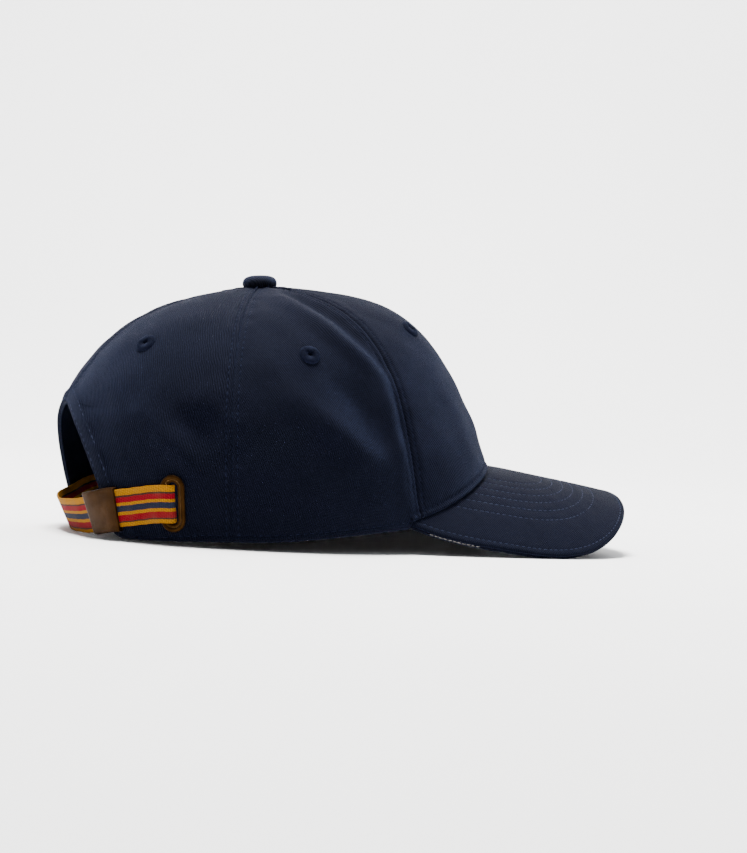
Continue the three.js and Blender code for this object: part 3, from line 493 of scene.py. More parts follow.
def skin(outer, inner, flip=False):
    """Points and quads of a closed sheet from two grids of the same size, whose edges are joined."""
    rows, columns = outer.shape[:2]
    size = rows * columns
    points = np.concatenate([outer.reshape(-1, 3), inner.reshape(-1, 3)])
    faces = [grid_faces(rows, columns, 0, False, flip), grid_faces(rows, columns, size, False, not flip)]
    number = np.arange(size).reshape(rows, columns)
    edge = np.concatenate([number[0], number[1:, -1], number[-1, -2::-1], number[-2:0:-1, 0]])
    after = np.roll(edge, -1)
    side = np.stack([after, edge, edge + size, after + size], -1)
    faces.append(side[:, ::-1] if flip else side)
    return points, np.concatenate(faces)


def along_line(points):
    return np.concatenate([[0], np.cumsum(np.linalg.norm(np.diff(points, axis=0), axis=1))])


def values_at(at, along, values):
    """Rows of values at places on a line whose own rows lie at the given lengths."""
    return np.stack([np.interp(at, along, values[:, k]) for k in range(values.shape[1])], -1)


class Thread:
    """Collects stitches into one mesh: each a short bowed tube whose ends dip into the cloth."""

    RINGS = 7
    CORNERS = 6

    def __init__(self):
        self.points, self.faces, self.cloth = [], [], []
        self.count = 0

    def run(self, points, normals, pitch=STITCH_PITCH, length=STITCH, radius=THREAD_RADIUS, stretches=None):
        """Stitches along a line; stretches limits them to parts of it, given as shares of its length."""
        dist = along_line(points)
        number = max(int(dist[-1] / pitch), 1)
        pitch = dist[-1] / number
        share = np.linspace(0, 1, self.RINGS)
        turn = np.linspace(0, 2 * np.pi, self.CORNERS, endpoint=False)
        for i in range(number):
            start = i * pitch + (pitch - length) / 2 + rng.uniform(-0.06, 0.06) * pitch
            if stretches and not any(low <= start / dist[-1] <= high for low, high in stretches):
                continue
            at = start + share * length
            p, n = values_at(at, dist, points), unit(values_at(at, dist, normals))
            way = unit(np.gradient(p, axis=0))
            side = unit(np.cross(way, n))
            arc = np.sin(np.pi * share)
            lift = radius * (1.35 * arc**0.6 - 1.0)
            p = p + n * lift[:, None] + side * (rng.uniform(-0.05, 0.05) * (share - 0.5))[:, None]
            r = radius * (0.55 + 0.45 * arc**0.5)
            across, out = np.outer(r, np.cos(turn) * 1.1), np.outer(r, np.sin(turn))
            ring = p[:, None] + side[:, None] * across[..., None] + n[:, None] * out[..., None]
            self.points.append(ring.reshape(-1, 3))
            self.faces.append(grid_faces(self.RINGS, self.CORNERS, self.count, True, True))
            place = np.broadcast_arrays(at[:, None], turn[None, :] * radius, float(i))
            self.cloth.append(np.stack(place, -1).reshape(-1, 3))
            self.count += self.RINGS * self.CORNERS

    def build(self, name, material, slot_name, press=False):
        points, faces, cloth = (np.concatenate(rows) for rows in (self.points, self.faces, self.cloth))
        make_object(name, points, faces, material, cloth, press=press)


# Materials
class Net:
    """A procedural material and short ways to add nodes to it."""

    def __init__(self, name):
        self.material = bpy.data.materials.new(name)
        self.material.use_nodes = True
        self.tree = self.material.node_tree
        self.tree.nodes.clear()
        self.shader = self.node("ShaderNodeBsdfPrincipled")
        self.node("ShaderNodeOutputMaterial", {"Surface": self.shader.outputs[0]})

    def put(self, socket, value):
        if hasattr(value, "is_output"):
            self.tree.links.new(value, socket)
        else:
            socket.default_value = value

    def node(self, kind, inputs=None):
        """A new node; its inputs are given by name or number."""
        node = self.tree.nodes.new(kind)
        for key, value in (inputs or {}).items():
            self.put(node.inputs[key], value)
        return node

    def finish(self, inputs):
        for name, value in inputs.items():
            self.put(self.shader.inputs[name], value)
        return self.material

    def place(self):
        """A point's place on its cloth, in mm."""
        node = self.node("ShaderNodeAttribute")
        node.attribute_type = "GEOMETRY"
        node.attribute_name = "cloth"
        return node.outputs["Vector"]

    def edges(self, low, high, most):
        """Worn edges: more where the surface stands out."""
        return self.range(self.node("ShaderNodeNewGeometry").outputs["Pointiness"], low, high, 0.0, most)

    def math(self, kind, a, b=0.0, c=0.0):
        node = self.node("ShaderNodeMath", {0: a, 1: b, 2: c})
        node.operation = kind
        return node.outputs[0]

    def vectors(self, kind, a, b):
        node = self.node("ShaderNodeVectorMath", {0: a, 1: b})
        node.operation = kind
        return node.outputs

    def scaled(self, vector, scale):
        return self.vectors("MULTIPLY", vector, scale)[0]

    def waves(self, vector, direction):
        """A sine across the cloth; direction holds waves per mm along each axis."""
        turns = [2 * math.pi * v for v in direction]
        along = self.vectors("DOT_PRODUCT", vector, turns)["Value"]
        return self.math("MULTIPLY_ADD", self.math("SINE", along), 0.5, 0.5)

    def noise(self, vector, scale, detail=3.0, roughness=0.55):
        inputs = {"Vector": vector, "Scale": scale, "Detail": detail, "Roughness": roughness}
        return self.node("ShaderNodeTexNoise", inputs).outputs[0]

    def range(self, value, a, b, c, d):
        inputs = {"Value": value, "From Min": a, "From Max": b, "To Min": c, "To Max": d}
        return self.node("ShaderNodeMapRange", inputs).outputs[0]

    def mix(self, factor, a, b, blend="MIX"):
        node = self.node("ShaderNodeMix", {"Factor": factor})
        node.data_type = "RGBA"
        node.blend_type = blend
        for socket, value in ((node.inputs[6], a), (node.inputs[7], b)):
            self.put(socket, value if hasattr(value, "is_output") else (*value, 1))
        return node.outputs[2]

    def bump(self, height, distance, strength, normal=None):
        node = self.node("ShaderNodeBump", {"Height": height, "Distance": distance, "Strength": strength})
        if normal is not None:
            self.put(node.inputs["Normal"], normal)
        return node.outputs[0]


TWILL_RIB = 0.95
TWILL_YARN = 0.62
TWILL_SLOPE = math.radians(24)
LINT = (0.02, 0.023, 0.045)


def twill(name, dark, light, sheen):
    """Cotton twill: diagonal ribs of crossing yarns, uneven dye, worn edges and a little lint."""
    net = Net(name)
    place = net.place()
    uneven = net.noise(place, 0.35, 2.0)
    stray = net.scaled(net.noise(place, 0.12, 1.0), (1.2, 1.2, 0))
    bent = net.vectors("ADD", place, stray)[0]
    along, up = math.cos(TWILL_SLOPE) / TWILL_RIB, math.sin(TWILL_SLOPE) / TWILL_RIB
    ribs = net.waves(bent, (along, up, 0))
    yarns = net.waves(bent, (-up / TWILL_YARN, along / TWILL_YARN, 0))
    fibre = net.noise(net.scaled(place, (6, 1.6, 1)), 1.1, 4.0, 0.7)
    threads = net.math("MULTIPLY_ADD", fibre, 0.9, net.math("MULTIPLY", ribs, 0.75))
    weave = net.math("MULTIPLY_ADD", yarns, 0.35, threads)
    patches = net.noise(place, 0.028, 3.0)
    shade = net.math("ADD", net.range(patches, 0.35, 0.65, -0.1, 0.1), net.range(weave, 0.5, 1.5, 0.0, 1.0))
    colour = net.mix(net.range(shade, 0.0, 1.0, 0.0, 1.0), dark, light)
    specks = net.range(net.noise(net.scaled(place, (1, 0.35, 1)), 1.7, 2.0, 0.5), 0.73, 0.78, 0.0, 0.28)
    colour = net.mix(specks, colour, LINT)
    colour = net.mix(net.math("MULTIPLY", net.edges(0.52, 0.62, 0.3), uneven), colour, LINT)
    return net.finish(
        {
            "Base Color": colour,
            "Roughness": net.range(weave, 0.2, 1.5, 0.95, 0.78),
            "Specular IOR Level": 0.045,
            "Specular Tint": (0.6, 0.7, 1.0, 1),
            "Sheen Weight": sheen,
            "Sheen Roughness": 0.45,
            "Sheen Tint": (0.34, 0.46, 1.0, 1),
            "Normal": net.bump(weave, 0.0003, 0.9, net.bump(uneven, 0.0004, 0.25)),
        }
    )


def thread_material(name, dark, light, sheen):
    """Twisted sewing thread with a slight shine."""
    net = Net(name)
    place = net.place()
    twist = net.waves(place, (1.9, 1.4, 0))
    uneven = net.noise(net.scaled(place, (0.25, 0.25, 1.7)), 1.0, 2.0)
    mixed = net.math("MULTIPLY_ADD", uneven, 0.9, net.math("MULTIPLY", twist, 0.4))
    return net.finish(
        {
            "Base Color": net.mix(net.range(mixed, 0.2, 1.0, 0.0, 1.0), dark, light),
            "Roughness": net.range(twist, 0, 1, 0.9, 0.75),
            "Specular IOR Level": 0.05,
            "Specular Tint": (0.6, 0.7, 1.0, 1),
            "Sheen Weight": sheen,
            "Sheen Tint": (0.35, 0.5, 1.0, 1),
            "Normal": net.bump(twist, 0.00008, 0.6),
        }
    )


# Stripes across the strap from its top edge: where each ends, as a share of the width, and its colour
YELLOW = (0.3, 0.124, 0.001)
RED = (0.18, 0.002, 0.008)
STRIPE_NAVY = (0.013, 0.0155, 0.032)
LINE = (0.035, 0.015, 0.011)
STRIPES = [
    (0.17, YELLOW),
    (0.215, LINE),
    (0.36, RED),
    (0.44, YELLOW),
    (0.6, STRIPE_NAVY),
    (0.69, YELLOW),
    (0.85, RED),
    (0.89, LINE),
    (1.0, YELLOW),
]
WEFT_PITCH = 0.95
WARP_PITCH = 0.62


def webbing(name):
    """Ribbed webbing: lengthwise coloured warps over a tight weft."""
    net = Net(name)
    place = net.place()
    stray = net.math("MULTIPLY_ADD", net.noise(net.scaled(place, (0.4, 1.3, 1)), 1.5, 3.0), 0.5, -0.25)
    across = net.math("ADD", net.node("ShaderNodeSeparateXYZ", {0: place}).outputs[0], stray)
    stripes = net.node("ShaderNodeValToRGB", {0: net.math("DIVIDE", across, STRAP_WIDTH)})
    ramp = stripes.color_ramp
    ramp.interpolation = "CONSTANT"
    ramp.elements.remove(ramp.elements[-1])
    start = 0.0
    for i, (end, colour) in enumerate(STRIPES):
        stop = ramp.elements.new(start) if i else ramp.elements[0]
        stop.position = start
        stop.color = (*colour, 1)
        start = end
    weft = net.waves(place, (0, 1 / WEFT_PITCH, 0))
    warp = net.waves(place, (1 / WARP_PITCH, 0, 0))
    shift = net.waves(place, (0.5 / WARP_PITCH, 0.5 / WEFT_PITCH, 0))
    fibre = net.noise(net.scaled(place, (5, 1.5, 1)), 1.2, 3.0, 0.65)
    crossing = net.math("MULTIPLY_ADD", shift, 0.35, net.math("MULTIPLY", weft, warp))
    weave = net.math("MULTIPLY_ADD", fibre, 0.5, crossing)
    shade = net.range(weave, 0.15, 1.4, 0.52, 1.12)
    grey = net.node("ShaderNodeCombineColor", {0: shade, 1: shade, 2: shade})
    colour = net.mix(1.0, stripes.outputs[0], grey.outputs[0], "MULTIPLY")
    dirt = net.range(net.noise(place, 0.09, 4.0), 0.5, 0.8, 0.0, 0.3)
    return net.finish(
        {
            "Base Color": net.mix(dirt, colour, (0.11, 0.07, 0.04)),
            "Roughness": net.range(weave, 0.1, 1.4, 0.9, 0.7),
            "Specular IOR Level": 0.06,
            "Normal": net.bump(weave, 0.00025, 0.8),
        }
    )


def brass(name):
    """Antique brass, brushed along its length, darker where it is handled less."""
    net = Net(name)
    place = net.place()
    brushed = net.noise(net.scaled(place, (0.12, 7, 1)), 1.6, 4.0, 0.7)
    patina = net.noise(place, 0.16, 2.0, 0.5)
    spots = net.range(net.noise(place, 1.3, 2.0), 0.66, 0.78, 0.0, 0.35)
    dulled = net.range(patina, 0.36, 0.66, 0.0, 1.0)
    colour = net.mix(dulled, (0.013, 0.0052, 0.0011), (0.025, 0.0105, 0.0023))
    colour = net.mix(net.range(brushed, 0.35, 0.65, 0.0, 0.5), colour, (0.043, 0.0185, 0.0045))
    colour = net.mix(spots, colour, (0.016, 0.009, 0.004))
    rubbed = net.math("MULTIPLY", net.edges(0.5, 0.58, 1.0), 0.6)
    return net.finish(
        {
            "Base Color": net.mix(rubbed, colour, (0.26, 0.145, 0.05)),
            "Metallic": 1.0,
            "Roughness": net.math("MULTIPLY_ADD", brushed, 0.3, net.range(patina, 0.3, 0.7, 0.52, 0.36)),
            "Normal": net.bump(brushed, 0.00013, 0.7, net.bump(patina, 0.0002, 0.2)),
        }
    )


NAVY = twill("navy_twill", (0.0004, 0.0005, 0.0013), (0.0037, 0.0042, 0.0106), 0.045)
# The peak's twill is a darker copy of the crown's navy twill: painted shade for a peak that is lit less
PAINTED_SHADE_PEAK_CLOTH = twill("navy_peak_painted_shade", (0.0003, 0.0004, 0.0011), (0.0027, 0.0031, 0.0085), 0.026)
NAVY_UNDER = twill("navy_under", (0.0009, 0.001, 0.0023), (0.0032, 0.0035, 0.0082), 0.045)
# The button's cloth is a lighter copy of the navy twill: painted light on the button
PAINTED_LIGHT_BUTTON_CLOTH = twill("navy_button_painted_light", (0.0026, 0.0027, 0.0044), (0.0076, 0.008, 0.0138), 0.1)
THREAD = thread_material("navy_thread", (0.0013, 0.0016, 0.0045), (0.005, 0.006, 0.0158), 0.05)
# A lighter copy of the navy thread: painted highlight on the peak's upper stitching and on the hem's
# stitching
PAINTED_HIGHLIGHT_THREAD = thread_material("navy_thread_painted_highlight", (0.008, 0.0095, 0.02), (0.026, 0.031, 0.056), 0.06)
PALE_THREAD = thread_material("pale_thread", (0.22, 0.21, 0.2), (0.5, 0.48, 0.45), 0.1)
WEBBING = webbing("striped_webbing")
BRASS = brass("antique_brass")

crown_thread, hem_thread = Thread(), Thread()


# Crown panels
EDGE_STEPS = [0, 0.03, 0.1, 0.22, 0.4, 0.62, 0.8, 1.1, 1.5, 1.9, 2.3, 2.7, 3.1, 3.6, 4.3, 5.2, 6.2, 7.5]
EDGE_STEPS = np.array(EDGE_STEPS)


def spaced(length, cluster, middle, both=True):
    """Distances along a length, close together at its ends."""
    scale = np.minimum(1, 0.3 * length / cluster[-1])
    start = cluster * scale
    end = length - start[::-1] if both else np.array([length])
    inside = np.linspace(start[-1], end[0], middle + 2)[1:-1]
    return np.concatenate([start, inside, end])


def arch_chart(angle, step):
    """Flat places in mm round the opening."""
    return np.stack([np.radians(180 - np.abs(angle)) * BACK_REACH, step * PANEL_RUN], -1)


def arch_limit(step):
    """How far from the back seam the cloth begins at a step: 0 above the opening's top."""
    corner_from = side_rim_height(180.0) + OPENING_CORNER

    def is_cloth(off):
        _, y, z = smooth_crown(180 - off, step)
        half = opening_half_width(z)
        if z < corner_from:
            drop = min(corner_from - z, OPENING_CORNER)
            half = OPENING_HALF_WIDTH + OPENING_CORNER - math.sqrt(max(OPENING_CORNER**2 - drop**2, 0))
        return z >= OPENING_HEIGHT or abs(y) >= half

    return 0.0 if is_cloth(0.0) else search(is_cloth, 0.0, 50.0)


ARCH_TOP = search(lambda s: smooth_crown(180.0, s)[2] < OPENING_HEIGHT)
ARCH_STEPS = np.unique(
    np.concatenate(
        [
            ARCH_TOP + EDGE_STEPS[:14] / PANEL_RUN,
            np.linspace(ARCH_TOP + 5 / PANEL_RUN, 1 - 8 / PANEL_RUN, 44),
            1 - EDGE_STEPS[::-1] / PANEL_RUN,
        ]
    )
)
ARCH_OFF = np.array([arch_limit(s) for s in ARCH_STEPS])
ARCH_LINE = arch_chart(180 - ARCH_OFF, ARCH_STEPS)


def from_line(places, line):
    """Distance in mm of flat places from a line of points."""
    best = np.full(places.shape[:-1], np.inf)
    for p, q in zip(line[:-1], line[1:]):
        run = q - p
        t = np.clip((places - p) @ run / max(run @ run, 1e-12), 0, 1)
        best = np.minimum(best, np.linalg.norm(places - p - t[..., None] * run, axis=-1))
    return best


def panel_steps(panel):
    top = search(lambda s: rim_reach(60.0) * SECTIONS["sideOut"](s) > STEM_RADIUS + 1.2)
    rim = 1 - EDGE_STEPS[::-1] / PANEL_RUN
    if panel != "back":
        return np.concatenate([np.linspace(top, rim[0], 112)[:-1], rim])
    above = ARCH_TOP - EDGE_STEPS[1:][::-1] / PANEL_RUN
    upper = np.linspace(top, above[0], 66)[:-1]
    return np.unique(np.concatenate([upper, above, ARCH_STEPS]))


def sew_rows(distance, offset, points, normals):
    """Stitches through the place in each row of points that lies at an offset from an edge."""
    line, ways = [], []
    for away, row, normal in zip(distance, points, normals):
        order = np.argsort(away)
        line.append(values_at(offset, away[order], row[order]))
        ways.append(values_at(offset, away[order], normal[order]))
    crown_thread.run(np.array(line), unit(np.array(ways)))


# Extra columns of points where the side panel's rim steps down behind the peak's corner
CORNER_COLUMNS = PEAK_HALF_ANGLE - CORNER_OVERLAP + RIM_STEP_RUN * np.linspace(-0.1, 1.1, 7)


def panel_piece(panel, side_name, sign):
    steps = panel_steps(panel)
    start, end, _ = PANELS[panel]
    rows = []
    for step in steps:
        low, high = float(start(step)), float(end(step))
        if panel == "back" and step > ARCH_TOP:
            high = 180 - float(np.interp(step, ARCH_STEPS, ARCH_OFF))
        probe = np.linspace(low, high, 25)
        width = along_line(smooth_crown(probe, step))
        at = spaced(width[-1], EDGE_STEPS, 52 if panel == "side" else 46)
        columns = np.interp(at, width, probe)
        if panel == "side":
            columns = np.sort(np.concatenate([columns, CORNER_COLUMNS]))
        rows.append(columns)
    away = np.array(rows)
    step = np.repeat(steps[:, None], away.shape[1], axis=1)
    gap = np.degrees(-SEAM_OVERLAP / np.maximum(rim_reach(away) * SECTIONS["sideOut"](step), 1))
    share = np.linspace(-1, 1, away.shape[1])[None, :]
    is_cut = (panel == "back") & (step > ARCH_TOP)
    away = away - np.where(is_cut & (share > 0), 0, share) * gap * np.abs(share) ** 8
    angle = sign * away
    outer = crown_at(angle, step, panel)
    outer[..., 2] -= np.where(away < PEAK_HALF_ANGLE, SEAM_GAP, 0) * smoothstep(step, 0.9, 1)
    normal = crown_normal(angle, step, panel)
    across = np.cumsum(np.linalg.norm(np.diff(outer, axis=1, prepend=outer[:, :1]), axis=2), 1)
    down = np.cumsum(np.linalg.norm(np.diff(outer, axis=0, prepend=outer[:1]), axis=2), 0)
    from_last = across[:, -1:] - across
    from_rim = down[-1:] - down
    if panel == "back":
        arch = from_line(arch_chart(angle, step), ARCH_LINE)
        from_last = np.where(is_cut, np.inf, from_last)
    else:
        arch = np.full(away.shape, FAR)
    seam = np.minimum(across, from_last)
    is_seated = (panel == "front") | (away < PEAK_HALF_ANGLE)

    # The cloth thins away at its edges in a half round
    near = np.minimum(np.minimum(seam, from_rim), arch)
    radius = CLOTH / 2
    round_off = thinned(near, radius)

    # What the sewing does to the surface
    folded_edge = FOLDED_EDGE_RISE * (1 - smoothstep(seam, 4.5, 8.5)) * smoothstep(seam, 2.8, 3.6)
    seams = (sewn(seam, SEAM_RELIEF) + folded_edge) * smoothstep(down, 0, 14)
    pucker = wrinkle(down, across * 0.3, 7.5, 11) * bump(seam, 3.2, 2.4) * SEAM_PUCKER
    roll = np.where(is_seated, SEATED_RIM_ROLL, RIM_ROLL)
    rim = roll * bump(from_rim, 1.3, 1.3) + RIM_FOLD_RISE * (1 - smoothstep(from_rim, 5, 7))
    rim -= RIM_STITCH_DIP * bump(from_rim, RIM_STITCH, 0.55)
    rim += wrinkle(across, from_rim * 0.3, 9, 12) * bump(from_rim, 4.5, 3.5) * RIM_PUCKER
    hem = sewn(arch, HEM_RELIEF) + HEM_RISE * (1 - smoothstep(arch, HEM_STITCH + 0.7, HEM_STITCH + 1.7))
    hem += wrinkle(arch * 0.3, down, 8, 13) * bump(arch, 6, 4) * HEM_PUCKER
    soft = wrinkle(across, down, 34, 21 + sign) * SLOW_WAVES
    soft += wrinkle(across * 1.3, down, 15, 25 + sign) * SMALL_WAVES
    soft *= smoothstep(near, 0, 10) * smoothstep(down, 4, 30)
    gather = np.exp(-down / 13) * smoothstep(down, 1, 6)
    soft += GATHER * gather * np.sin(np.radians(away) * 14 + sign) * smoothstep(seam, 0.5, 2.5)
    relief = seams + pucker + rim + hem + soft
    middle = outer - normal * radius
    thick = radius * round_off
    top = middle + normal * (thick + relief * inland(round_off))[..., None]
    bottom = middle - normal * (thick - np.minimum(relief, 0.25) * round_off * 0.5)[..., None]
    points, faces = skin(top, bottom, sign < 0)
    middle_angle = (float(start(1.0)) + float(end(1.0))) / 2
    width_place = np.radians(away - middle_angle) * rim_reach(away) * SECTIONS["sideOut"](step)
    cloth = np.stack([width_place, step * PANEL_RUN, np.zeros(down.shape)], -1).reshape(-1, 3)
    cloth = np.concatenate([cloth, cloth * [-1, 1, 1] + [300, 50, 0]])
    name = f"panel_{panel}_{side_name}"
    make_object(name, points, faces, NAVY, cloth, True, True)

    # Topstitching along both seams and the rim
    is_wide = (across[:, -1] > 9) & (from_rim[:, 0] > 2)
    is_sewn = is_wide & (from_rim[:, -1] > 2)
    if panel == "back":
        is_sewn = is_wide & (steps < ARCH_TOP - 8.5 / PANEL_RUN)
    half = away.shape[1] // 2
    first, last = slice(0, half), slice(half, None)
    sew_rows(across[is_wide, first], SEAM_STITCH, top[is_wide, first], normal[is_wide, first])
    sew_rows(from_last[is_sewn, last], SEAM_STITCH, top[is_sewn, last], normal[is_sewn, last])
    inside = (across[-1] > 1) & (across[-1, -1] - across[-1] > 1)
    columns = (grid[:, inside].swapaxes(0, 1) for grid in (top, normal))
    sew_rows(from_rim[:, inside].T, RIM_STITCH, *columns)
    if panel == "back":
        run_hem(sign)


def run_hem(sign):
    """Both lines of stitching that hold the opening's hem."""
    way = np.gradient(ARCH_LINE, axis=0)
    side = unit(np.stack([-way[:, 1], way[:, 0]], -1))
    side *= np.sign(side[len(side) // 2, 0])
    for offset, sunk in ((HEM_STITCH, 0.3), (HEM_EDGE_STITCH, 0.14)):
        moved = ARCH_LINE + side * offset
        moved = moved[(moved[:, 0] > 0.4) & (moved[:, 1] < PANEL_RUN - 1)]
        moved = moved[np.argsort(moved[:, 1])]
        moved = moved[np.concatenate([[True], np.diff(moved[:, 0]) > 0.02])]
        angle = sign * (180 - np.degrees(moved[:, 0] / BACK_REACH))
        step = moved[:, 1] / PANEL_RUN
        normal = crown_normal(angle, step, "back")
        hem_thread.run(crown_at(angle, step, "back") + normal * (HEM_RISE - sunk), normal)


for panel in PANELS:
    for side_name, sign in SIDES:
        panel_piece(panel, side_name, sign)
crown_thread.build("crown_stitching", THREAD, "navy_thread", press=True)
# The hem's stitches use the lighter copy of the navy thread, a painted highlight
hem_thread.build("hem_stitching", PAINTED_HIGHLIGHT_THREAD, "navy_thread", press=True)


def crown_frame(angle, step, panel):
    """Columns: towards the front, up the cloth, out of it; and the place itself."""
    out = crown_normal(np.array([angle]), np.array([step]), panel)[0]
    ahead = unit(np.cross([0, 0, 1], out))
    if angle > 0:
        ahead = -ahead
    return ahead, np.cross(out, ahead), out, crown_at(np.array([angle]), np.array([step]), panel)[0]


def in_frame(points, axes):
    ahead, up, out, place = axes
    p = np.asarray(points, float)
    return place + p[..., :1] * ahead + p[..., 1:2] * up + p[..., 2:3] * out


def turned(section, count, modulate):
    """A closed ring of sections round Z, with rows (radius, height), which modulate alters at each turn."""
    section = np.asarray(section, float)
    turn = np.linspace(0, 2 * np.pi, count, endpoint=False)
    radius = np.repeat(section[None, :, 0], count, 0)
    height = np.repeat(section[None, :, 1], count, 0)
    radius, height = modulate(turn[:, None], radius, height)
    points = np.stack([radius * np.cos(turn)[:, None], radius * np.sin(turn)[:, None], height], -1)
    around = turn[:, None] * EYELET_RADIUS + 0 * radius
    cloth = np.stack([np.repeat(along_line(section)[None], count, 0), around, 0 * radius], -1)
    return points, cloth


def ring_faces(count, size, closed_section=True, flip=False):
    """Quads round a closed ring of sections."""
    quads = np.roll(grid_faces(count + 1, size, 0, closed_section), -1, 1) % (count * size)
    return quads if flip else quads[:, ::-1]


# Eyelets: rings of satin stitch round a hole
def eyelet(panel, side_name, sign):
    start, end, step = PANELS[panel]
    angle = sign * lerp(float(start(step)), float(end(step)), EYELET_SHARE)
    turn = np.linspace(0, 2 * np.pi, 26, endpoint=False)
    centre = (EYELET_HOLE + EYELET_RADIUS) / 2
    half = (EYELET_RADIUS - EYELET_HOLE) / 2
    rise = SEAM_GAP - 0.75 + (EYELET_RISE + 0.6) * np.maximum(np.sin(turn), -0.5)
    section = np.stack([centre + half * np.cos(turn), rise], -1)[::-1]
    seed = np.random.default_rng(31 + len(panel) + sign)
    jitter = seed.uniform(0.7, 1.3, EYELET_THREADS)

    def modulate(turn, radius, height):
        wave = np.abs(np.sin(turn * EYELET_THREADS / 2))
        size = jitter[(turn * EYELET_THREADS / (2 * np.pi)).astype(int) % EYELET_THREADS]
        rise = 0.2 * wave**0.7 * size
        up = np.clip((height - SEAM_GAP + 0.6) / EYELET_RISE, 0, 1)
        outward = np.clip((radius - centre) / half, -1, 1)
        return radius + outward * rise * 0.9 + 0.05 * np.sin(turn * 3), height + rise * up

    count = EYELET_THREADS * 6
    points, cloth = turned(section, count, modulate)
    faces = ring_faces(count, len(section))
    name = f"eyelet_{panel}_{side_name}"
    at = in_frame(points.reshape(-1, 3), crown_frame(angle, step, panel))
    make_object(name, at, faces, THREAD, cloth.reshape(-1, 3), True)


for panel in PANELS:
    for side_name, sign in SIDES:
        eyelet(panel, side_name, sign)


def chaikin(points, times=2, closed=True):
    """Rounds a polyline's corners by cutting them."""
    p = np.asarray(points, float)
    for _ in range(times):
        q = np.roll(p, -1, axis=0)
        a, b = 0.75 * p + 0.25 * q, 0.25 * p + 0.75 * q
        mixed = np.stack([a, b], 1).reshape(-1, p.shape[1])
        p = mixed if closed else np.concatenate([p[:1], mixed[1:-3], p[-1:]])
    return p


# Button: cloth drawn over a dome
def button():
    base = HEIGHT + SEAM_GAP
    shares = [(0, -0.32), (0.32, -0.32), (0.6, -0.1), (0.86, -0.03), (0.98, 0.1), (1.03, 0.3), (1, 0.56)]
    shares += [(0.9, 0.76), (0.72, 0.9), (0.5, 0.97), (0.25, 1), (0, 1)]
    section = chaikin(shares, 3, False) * [BUTTON_RADIUS, BUTTON_HEIGHT] + [0, base]
    section[0, 0] = section[-1, 0] = 0.02

    def modulate(turn, radius, height):
        low = 1 - smoothstep((height - base) / BUTTON_HEIGHT, 0.1, 0.55)
        folds = 0.11 * np.sin(turn * 17 + 0.7) + 0.07 * np.sin(turn * 9)
        radius = radius * (1 + 0.012 * np.sin(turn * 2) + folds * 0.12 * low)
        return radius, height - 0.12 * low * np.sin(turn * 13)

    count = 144
    points, _ = turned(section, count, modulate)
    flat = points.reshape(-1, 3)
    faces = ring_faces(count, len(section), False)
    cloth = np.stack([flat[:, 0], flat[:, 1] + flat[:, 2], 0 * flat[:, 2]], -1)
    # The button uses the lighter copy of the navy twill, which paints light on it
    make_object("button", flat, faces, PAINTED_LIGHT_BUTTON_CLOTH, cloth, True)


button()


# Peak
def peak_outline(share):
    corner = rim_reach(PEAK_HALF_ANGLE) * np.array(heading(PEAK_HALF_ANGLE))
    widest = FRONT_REACH - PEAK_WIDEST_BEHIND_ROOT
    tip = FRONT_REACH + PEAK_LENGTH
    turn = np.pi / 2 * np.minimum(share / PEAK_ROUND_SHARE, 1)
    power = 2 / PEAK_ROUNDNESS
    x = widest + (tip - widest) * np.maximum(np.cos(turn), 0) ** power
    y = PEAK_HALF_WIDTH * np.sin(turn) ** power
    behind = np.clip((share - PEAK_ROUND_SHARE) / (1 - PEAK_ROUND_SHARE), 0, 1)
    y = y - (PEAK_HALF_WIDTH - corner[1]) * behind**PEAK_CORNER_POWER
    return np.where(behind > 0, lerp(widest, corner[0], behind), x), y


def peak_normal(x, y):
    r = 0.5
    slope_x = (peak_height(x + r, y) - peak_height(x - r, y)) / (2 * r)
    slope_y = (peak_height(x, y + r) - peak_height(x, y - r)) / (2 * r)
    return unit(np.stack([-slope_x, -slope_y, np.ones(np.shape(x))], -1))


def on_peak(plan):
    """The peak's surface and its normal over places in plan."""
    height = peak_height(plan[..., 0], plan[..., 1])
    return np.concatenate([plan, height[..., None]], -1), peak_normal(plan[..., 0], plan[..., 1])


def peak_edge_line():
    """The peak's outline in plan, from the right corner round the tip to the left one, evenly spaced."""
    share = np.linspace(0, 1, 1200)
    x, y = peak_outline(share)
    right = np.stack([x, -y], -1)[::-1]
    line = np.concatenate([right[:-1], np.stack([x, y], -1)])
    dist = along_line(line)
    return values_at(np.linspace(0, dist[-1], 420), dist, line)


EDGE = peak_edge_line()


def offset_edge(distance):
    """A line in plan a distance inside the peak's outline, kept in front of the crown."""
    way = unit(np.gradient(EDGE, axis=0))
    side = np.stack([-way[:, 1], way[:, 0]], -1)
    if side[len(side) // 2, 0] > 0:
        side = -side
    moved = EDGE + side * distance
    ok = np.array([np.min(np.linalg.norm(EDGE - p, axis=1)) > distance - 0.15 for p in moved])
    angle = np.degrees(np.arctan2(moved[:, 1], moved[:, 0]))
    clear = np.linalg.norm(moved, axis=1) > rim_reach(angle) + 1.6
    return moved[ok & clear]


